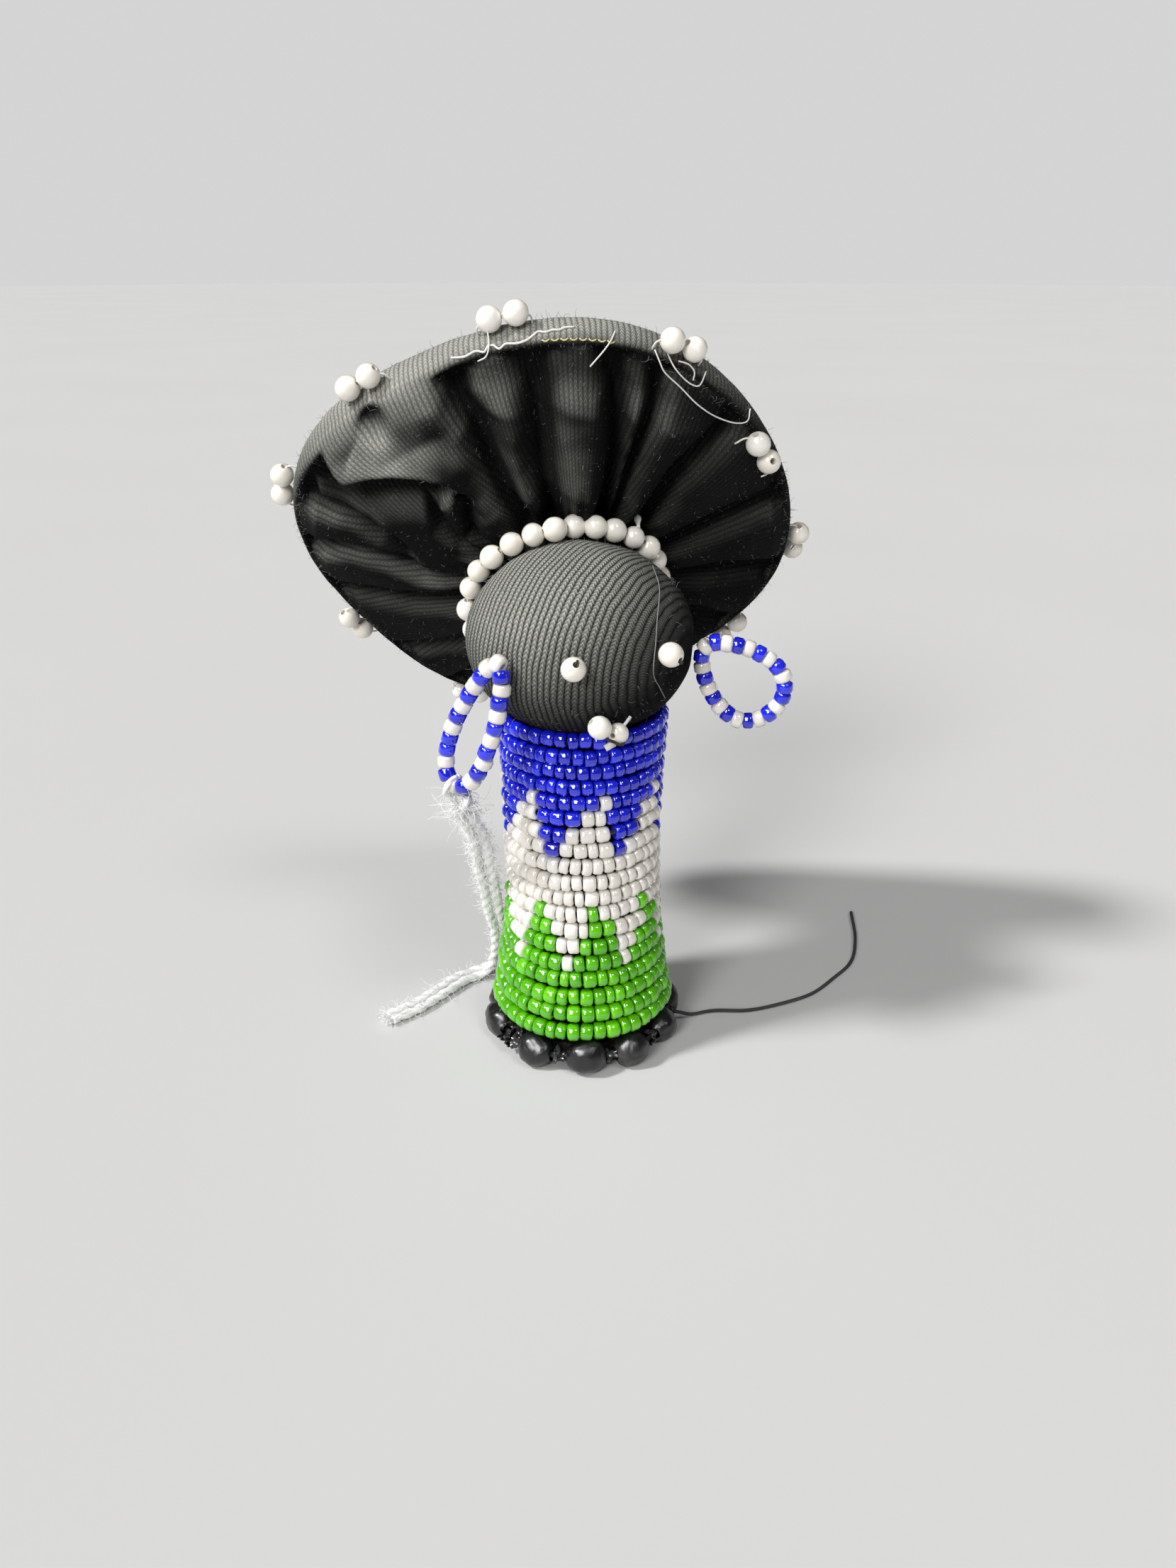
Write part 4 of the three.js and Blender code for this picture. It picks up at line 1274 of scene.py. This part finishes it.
turns = np.linspace(-180, 180, HAT_COLUMNS, endpoint=False)
angles = np.radians(turns)
rolls = about(turns, -46, 21)
flat_rim = np.zeros(HAT_COLUMNS)
neck_ring = band_point(angles, flat_rim + NECK_ANGLE, 0.15)
front_ring = rim_point(angles, flat_rim + HAT_RADIUS - 0.3, flat_rim)
FRONT_RUNS = [(-0.05, 0.1, 6), (0.12, 0.88, 42), (0.9, 0.988, 9)]
front_shares = np.concatenate([np.linspace(*run) for run in FRONT_RUNS])
rings = []
# painted shade and painted light of the front, ring by ring
shade_rings = []
paler = []
for share in front_shares:
    base_ring = neck_ring * (1 - share) + front_ring * share
    puff, dip, fold_shade, pale = fold_depth(turns, share)
    shade_rings.append(fold_shade)
    paler.append(pale)
    level = (base_ring - HAT_MIDDLE) @ hat_axis
    flat_ring = base_ring - np.outer(level, hat_axis)
    level = level - puff
    rolled = rolled_depth(np.linalg.norm(flat_ring - HAT_MIDDLE, axis=1) / rim_stretch(angles))
    level = level + rolls * min(1.0, max(0.0, share - 0.4) / 0.2) * (rolled - level)
    crimp = 0.28 * np.sin(angles * 46 + 2 * np.sin(angles * 5)) * max(0.0, 0.35 - share) / 0.35
    depth = level + dip + crimp
    depth = np.where(depth > 0.35, 0.35 + 0.6 * np.tanh((depth - 0.35) / 0.6), depth)
    rings.append(flat_ring + np.outer(depth, hat_axis))
RIM_SECTION = [
    (-0.42, -0.10), (-0.10, -0.02), (0.14, 0.28), (0.30, 0.70), (0.44, 1.35), (0.50, 2.15),
    (0.44, 2.95), (0.28, 3.65), (0.05, 4.10), (-0.35, 4.32),
]
for out, back in RIM_SECTION:
    level = flat_rim + back
    if back < 0.5:
        level = level + rolls * (rolled_depth(HAT_RADIUS + out) - level)
    rings.append(rim_point(angles, flat_rim + HAT_RADIUS + out, level))
for radius in np.concatenate([np.linspace(30.5, 6, 22), np.linspace(5, 1.2, 5)]):
    share = radius / HAT_RADIUS
    pleat = 0.42 * np.sin(angles * 26 + 1.5 * np.sin(angles * 3)) * max(0.0, 0.75 - share) ** 1.2
    sunk = 0.9 * bell(radius, 3.0)
    back = HAT_RIM_WIDTH + 0.6 * (1 - share**2) + pleat * min(1.0, radius / 5) - sunk
    rings.append(rim_point(angles, flat_rim + radius, back))
hat_points = np.array(rings)
crease_noise = [[noise.noise(Vector(place * CREASE_SCALE)) for place in ring] for ring in hat_points]
hat_points += np.array(crease_noise)[:, :, None] * CREASE_HEIGHT * hat_axis
pucker = rim_point(*PUCKER_PLACE)
puckered = bell(np.linalg.norm(hat_points - pucker, axis=2), PUCKER_WIDTH)
hat_points += PUCKER_DEPTH * hat_axis * puckered[:, :, None]
ring_count = len(rings)
felted = finish("felted_jersey", DULL, lambda base: paint_jersey(base, crisp=0.5, pale=0.68))
hat_faces = skin_faces(ring_count, HAT_COLUMNS)
hat = mesh_piece("hat_jersey", hat_points.reshape(-1, 3), hat_faces, felted)
ring_steps = np.linalg.norm(np.diff(hat_points, axis=0), axis=2).mean(axis=1)
ring_courses = np.concatenate([[0], np.cumsum(ring_steps)]) / HAT_COURSE
hat_wales = np.tile(turns / 360 * HAT_WALES, ring_count)
map_stitches(hat, np.stack([hat_wales, np.repeat(ring_courses, HAT_COLUMNS)], 1), HAT_WALES)
# painted light where the hat faces the lamps, with painted shade in its folds and pucker
hat_normals = np.empty(ring_count * HAT_COLUMNS * 3, np.float32)
hat.data.vertex_normals.foreach_get("vector", hat_normals)
rest_of_hat = [flat_rim] * (ring_count - len(shade_rings))
creased = np.maximum(np.concatenate(shade_rings + rest_of_hat), puckered.ravel())
light_start = -0.02 - np.concatenate(paler + rest_of_hat)
paint_light_on_cloth(hat, hat_normals.reshape(-1, 3), creased, HAT_LIGHT_WAY, light_start, 0.88)
apply_modifier(hat, "SOLIDIFY", thickness=HAT_CLOTH * MM, offset=-1)
fix(hat, "hat_cover")
front_end = len(front_shares) - 3
rim_places = hat_points[front_end : len(front_shares) + len(RIM_SECTION)].reshape(-1, 3)
rim_depths = (rim_places - HAT_MIDDLE) @ hat_axis
rim_normals = unit(rim_places - (HAT_MIDDLE + np.outer(rim_depths, hat_axis)))
grow_lint("hat_rim_lint", rim_places, rim_normals, 2600, 1.3)
front_places = hat_points[8:front_end].reshape(-1, 3)
grow_lint("hat_front_lint", front_places, np.tile(-hat_axis, (len(front_places), 1)), 900, 0.8)

# The rim pearls: ten pairs, each pair on one stitch of pale thread over the edge of the hat.
# Two of them, at the foot of the rim, are guessed from the spacing of the rest.
RIM_PEARL = 1.5
RIM_PAIRS = [
    (-160, 1.0), (-119.7, 0.4), (-77.6, 3.6), (-41.5, 1.3), (-9, 2.9), (27, 0.8), (57.7, -1.75),
    (94.6, 2.7), (125, 1.0), (162, 1.0),
]
SHOWN_HOLES = (6, 7)  # pairs whose second pearl has turned its hole to the front
camera_back = np.cross(camera_right, camera_up)
section_out, section_back = np.array(RIM_SECTION).T
for index, (turn, depth) in enumerate(RIM_PAIRS):
    node = f"rim_pearl_pair_{index + 1:02d}"
    angle = math.radians(turn)
    lift = math.sqrt((RIM_PEARL + 0.12) ** 2 - min(depth, 0) ** 2 * 0.85)
    out = np.interp(depth, section_back, section_out) + lift
    middle = rim_point(angle, HAT_RADIUS + out, depth)
    line = rim_point(angle + 0.01, HAT_RADIUS, depth) - rim_point(angle - 0.01, HAT_RADIUS, depth)
    line = unit(unit(line) + hat_axis * chance.uniform(-0.15, 0.15))
    outward_line = np.sin(angle) * hat_right + np.cos(angle) * hat_up
    half = line * (RIM_PEARL + 0.05)
    second_hole = line + outward_line * chance.uniform(-0.4, 0.4)
    if index in SHOWN_HOLES:
        second_hole = camera_back + line * 0.35
    first_hole = line + outward_line * chance.uniform(-0.4, 0.4)
    pearls = [
        pearl_place(middle - half, first_hole, RIM_PEARL * 1.02),
        pearl_place(middle + half, second_hole, RIM_PEARL),
    ]
    pair = string_up(f"{node}_beads", pearl_model, pearls)
    loop = [
        middle - 2 * half - outward_line * 2.4,
        middle - 2 * half - outward_line * 0.8,
        middle - half,
        middle + half,
        middle + 2 * half - outward_line * 0.8,
        middle + 2 * half - outward_line * 2.4,
    ]
    sew(pair, loop, 0.4, 0.12, pale_thread)
    fix(pair, node)
bpy.data.objects.remove(pearl_model)

# The rim's seam: a pale machine stitch that shows along the top of the front edge, with a few
# loose ends of thread about it. They are caught in the cloth, so they ride on the hat.
straw_thread = mottled(
    "straw_thread", (1400.0, 3.0), (0.52, 0.43, 0.17), (0.74, 0.66, 0.38), (0.5, 0.3)
)


def on_rim(turn, depth, lift=0.1):
    """A place on the cloth of the rim."""
    out = np.interp(depth, section_back, section_out) + lift
    return rim_point(math.radians(turn), HAT_RADIUS + out, depth - (lift if depth < 0.3 else 0))


SEAM = [
    (-21, 0.5), (-18, 0.2), (-15.4, 0.35), (-13.6, 0.1), (-12.7, 0.5), (-11.6, 0.5), (-10.4, 0.05),
    (-9, 0.3), (-6.5, 0.2), (-4.5, 0.3), (-3, 0.8), (-2.1, 1.2), (-0.6, 1.0), (0.9, 1.25),
    (2.2, 1.2), (3.3, 1.5), (5.2, 1.6),
]
STRAW_STITCH = [(0, 0.2), (0.5, 0.05), (1.0, 0.05), (1.5, 0.2)]
# Loose ends: each place by degrees round from the top, out from the middle and back from the edge.
LOOSE_ENDS = [
    [(-12.2, 33.0, 1.6), (-12.4, 31.9, 0.4), (-13.4, 31.2, -0.5), (-15.4, 30.9, -0.5)],
    [(13.4, 32.0, 1.4), (12.4, 31.7, -0.2), (11.1, 31.0, -1.2), (8.9, 29.4, -1.9)],
    [
        (21.7, 31.9, 0.0), (23.4, 31.2, -0.9), (24.9, 30.6, -1.3), (30.1, 29.9, -1.7),
        (35.4, 29.5, -2.2), (41.8, 29.5, -1.7), (47.9, 30.5, -0.9), (49.7, 31.4, -0.3),
        (49, 32.2, 0.9),
    ],
    [(24, 32.1, 0.5), (27.2, 31.2, -0.9), (31.8, 30.7, -1.3), (33.6, 31.0, -1.2), (34.1, 32.2, 0.3)],
    [(27.3, 31.8, -0.1), (29.7, 32.1, -0.3), (31.3, 31.8, -0.6), (31.8, 31.1, -1.1)],
]
seam_places = [on_rim(turn, depth) for turn, depth in SEAM]
seam = thread_stub("rim_seam_stitches", eased_line(seam_places, 0.25), 0.13, pale_thread)
for turn in np.arange(-1.4, 12, 1.9):
    dash = [on_rim(turn + step, depth) for step, depth in STRAW_STITCH]
    sew(seam, dash, 0.25, 0.09, straw_thread)
for route in LOOSE_ENDS:
    places = [rim_point(math.radians(turn), out, back) for turn, out, back in route]
    sew(seam, places, 0.3, 0.09, pale_thread)
fix(seam)

# The earrings: at each ear a loop of seed beads, white and blue by turns, on a thread from one
# stitch. Each loop swings on its stitch, so its beads ride on its own body.
EARRING_BEAD = 2.1
LEFT_RUN = "wbwbwbwbwbbwbwbwbwbwbwb"
LEFT_SLOPE = math.radians(-41.9)
LEFT_SIZE = (11.7, 8.3)
RIGHT_RUN = "wbwbwbwbwbwbwbwbbwbwbwbw"
RIGHT_OUT = math.radians(8.5)
RIGHT_BACK = math.radians(19.9)
RIGHT_SIZE = (17.0, 5.5)


def loop_line(stitch, along, across, length, width, count):
    """Evenly spaced points round a hanging loop, narrower near its stitch, and its whole length."""
    fine = np.linspace(0, 2 * math.pi, 721)
    taper = 1 - 0.32 * np.cos(fine)
    hang = np.outer(length / 2 * (1 - np.cos(fine)), along)
    loop = stitch + hang + np.outer(width / 2 * np.sin(fine) * taper, across)
    walked = walk(loop)
    stops = np.linspace(0, walked[-1], count, endpoint=False)
    return np.stack([np.interp(stops, walked, loop[:, k]) for k in range(3)], 1), walked[-1]


def ear_frame(place):
    """The stitch of an earring, with the level directions out from the head and back along it."""
    turn = math.radians(place[0])
    out = np.array([math.sin(turn), -math.cos(turn), 0])
    back = np.cross((0, 0, math.copysign(1, place[0])), out)
    stitch = on_head(head_direction(*place), EARRING_BEAD / 2 + 0.3)[0]
    return stitch, out, back


left_stitch, left_out, left_back = ear_frame(EAR_LEFT)
left_along = left_out * math.cos(LEFT_SLOPE) + np.array([0, 0, math.sin(LEFT_SLOPE)])
left_across = np.cross(left_along, left_back)
right_stitch, right_out, right_back = ear_frame(EAR_RIGHT)
right_hang = np.array([0, 0, -1.0]) + right_out * math.tan(RIGHT_OUT)
right_along = unit(right_hang + right_back * math.tan(RIGHT_BACK))
right_across = unit(np.cross(right_out, right_along))

for name, run, stitch, along, across, size in (
    ("earring_left", LEFT_RUN, left_stitch, left_along, left_across, LEFT_SIZE),
    ("earring_right", RIGHT_RUN, right_stitch, right_along, right_across, RIGHT_SIZE),
):
    beads = len(run)
    middles, whole = loop_line(stitch, along, across, *size, beads)
    facing = np.cross(along, across)
    places = []
    for index in range(beads):
        axis = Vector(middles[(index + 1) % beads] - middles[index - 1]).normalized()
        turn = axis.to_track_quat("X", "Z").to_matrix().to_4x4()
        swell = 1.04 if run[index] == "w" else 1.0
        girth = EARRING_BEAD / 2 / BEAD_RADIUS * chance.uniform(0.98, 1.06) * swell
        span = whole / beads / BEAD_LENGTH * chance.uniform(0.97, 1.07)
        at = middles[index] + facing * chance.normal(0, 0.08)
        places.append(bead_place(at, turn, span, girth, GLASS[run[index]]))
    earring = string_up(f"{name}_beads", seed_bead, places)
    ring = np.vstack([middles, middles[:1]])
    sew(earring, ring, 0.5, 0.2, pale_thread)
    fix(earring, name, body=name)
bpy.data.objects.remove(seed_bead)

# The white string: soft two-ply cotton, doubled and knotted under the right earring. Its strands
# hang to the body, run down beside it and lie on the floor to a frayed end, fuzzy all along.
STRING_RADIUS = 0.66
STRING_SPREAD = 0.8
STRING_TWIST = 0.22
KNOT_TWIST = 0.25
KNOT_YARN = 0.5
HITCH_YARN = 0.34
FUZZ = (0.045, 0.55)  # how thick the fibres are, and how much they curl
KNOT_FUZZ = (0.05, 0.6)
KNOT_RADIUS = 1.2
HITCH_RADIUS = 1.35
FUZZ_COUNT = 1500
FRAY_COUNT = 70
KNOT_FUZZ_COUNT = 320
loop_foot = right_stitch + right_along * RIGHT_SIZE[0]
knot_drop = unit(np.array([0.43, -0.16, -1.0])) * (EARRING_BEAD / 2 + 0.3 + KNOT_RADIUS)
knot_middle = loop_foot + knot_drop
STRING_ROUTE = [
    tuple(knot_middle - np.array([0, 0, KNOT_RADIUS + 0.3])),
    (-15.1, -2.9, 33.3), (-13.3, 1.4, 26.5), (-11.8, 4.5, 21.0), (-10.6, 7.3, 16.0),
    (-8.9, 10.5, 10.7), (-8.3, 13.3, 5.6), (-9.0, 15.4, 2.0), (-10.8, 16.2, 0.75),
    (-14.0, 15.3, 0.75), (-18.1, 12.8, 0.75), (-22.1, 10.5, 0.75), (-26.2, 9.2, 0.75),
]


def paint_cotton(base):
    """Undyed cotton: soft white, greyer between the plies as painted shade, with a haze of fibre."""
    ply = base.marked("ply")
    fibre = base.cloud(2200.0, 4.0)
    return {
        "Base Color": (ply * 0.6 + fibre * 0.4).mix((0.76, 0.75, 0.75), (0.95, 0.945, 0.93)),
        "Roughness": 0.9 + fibre * 0.1,
        "Normal": (ply + fibre * 0.5).bump(0.5, 0.0002),
    }


cotton = finish("white_cotton", {"Sheen Weight": 0.3}, paint_cotton)


def yarn_piece(name, line, radius, turns_per_mm):
    """A tube of two plies twisted together along a line."""
    angles = 2 * math.pi * np.arange(12) / 12
    phase = 2 * math.pi * turns_per_mm * walk(line)[:, None]
    lobe = np.abs(np.cos(angles[None] - phase))
    piece = tube_piece(name, line, radius * (0.72 + 0.3 * lobe), cotton)
    # marks the crowns of the plies; the grooves between them get painted shade
    mark(piece.data, "ply", lobe)
    return piece


string_middle = np.array(STRING_ROUTE)
after = np.vstack([string_middle[1:], string_middle[-1:]])
before = np.vstack([string_middle[:1], string_middle[:-1]])
onward = after - before
sideways = unit(np.stack([onward[:, 1], -onward[:, 0], 0 * onward[:, 0]], 1))
for letter, side in (("a", 1), ("b", -1)):
    line = eased_line(string_middle + sideways * side * STRING_SPREAD, 0.3)
    strand = yarn_piece(f"string_strand_{letter}_yarn", line, STRING_RADIUS, STRING_TWIST)
    ways = unit(np.gradient(line, axis=0))
    at = chance.integers(0, len(line), FUZZ_COUNT)
    at = np.where(chance.uniform(0, 1, FUZZ_COUNT) < 0.25, (at * 0.3).astype(int), at)
    spread = chance.normal(0, 1, (FUZZ_COUNT, 3))
    spread = unit(spread - ways[at] * (spread * ways[at]).sum(1, keepdims=True))
    lengths = np.clip(chance.gamma(1.6, 0.5, FUZZ_COUNT), 0.3, 3.4)
    frayed = line[-1] + chance.normal(0, 0.22, (FRAY_COUNT, 3))
    fray_headings = (line[-1] - line[-4]) + chance.normal(0, 0.35, (FRAY_COUNT, 3))
    fuzz = stray_fibres(
        f"string_strand_{letter}_fuzz",
        np.vstack([line[at] + spread * STRING_RADIUS * 0.75, frayed]),
        np.vstack([spread + 0.6 * ways[at], fray_headings]),
        np.concatenate([lengths, chance.uniform(0.5, 1.9, FRAY_COUNT)]),
        *FUZZ,
        cotton,
    )
    for piece in (strand, fuzz):
        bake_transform(piece)
    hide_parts(f"string_strand_{letter}")
    lay_cord(strand, line, 2 * STRING_RADIUS * MM, with_pieces=[fuzz])

knot_turn = np.linspace(0, 2 * math.pi, 97)
knot_curve = [
    np.sin(knot_turn) + 1.6 * np.sin(2 * knot_turn),
    np.cos(knot_turn) - 1.6 * np.cos(2 * knot_turn),
    -1.1 * np.sin(3 * knot_turn),
]
knot_line = knot_middle + np.stack(knot_curve, 1) * np.array([0.36, 0.36, 0.5])
knot = yarn_piece("string_knot_yarn", knot_line, KNOT_YARN, KNOT_TWIST)
hitch_turn = np.linspace(0, 2 * math.pi, 25)
hitch_hang = np.outer(0.25 - HITCH_RADIUS * np.cos(hitch_turn), right_along)
hitch_side = np.outer(HITCH_RADIUS * np.sin(hitch_turn), np.cross(right_along, right_across))
hitch_line = loop_foot + hitch_hang + hitch_side
join_to(knot, yarn_piece("string_hitch", hitch_line, HITCH_YARN, KNOT_TWIST))
knot_roots = knot_middle + chance.normal(0, 0.65, (KNOT_FUZZ_COUNT, 3))
knot_headings = knot_roots - knot_middle + np.array([-0.5, -0.2, -0.3])
inward = np.maximum(0, -knot_headings @ right_out)
knot_headings += np.outer(inward * 1.7, right_out)  # the fibres keep off the body
knot_lengths = np.clip(chance.gamma(2.0, 0.95, KNOT_FUZZ_COUNT), 0.5, 4.2)
knot_fuzz = stray_fibres(
    "string_knot_fuzz", knot_roots, knot_headings, knot_lengths, *KNOT_FUZZ, cotton
)
join_to(knot, knot_fuzz)
fix(knot, "string_knot", body="earring_right")
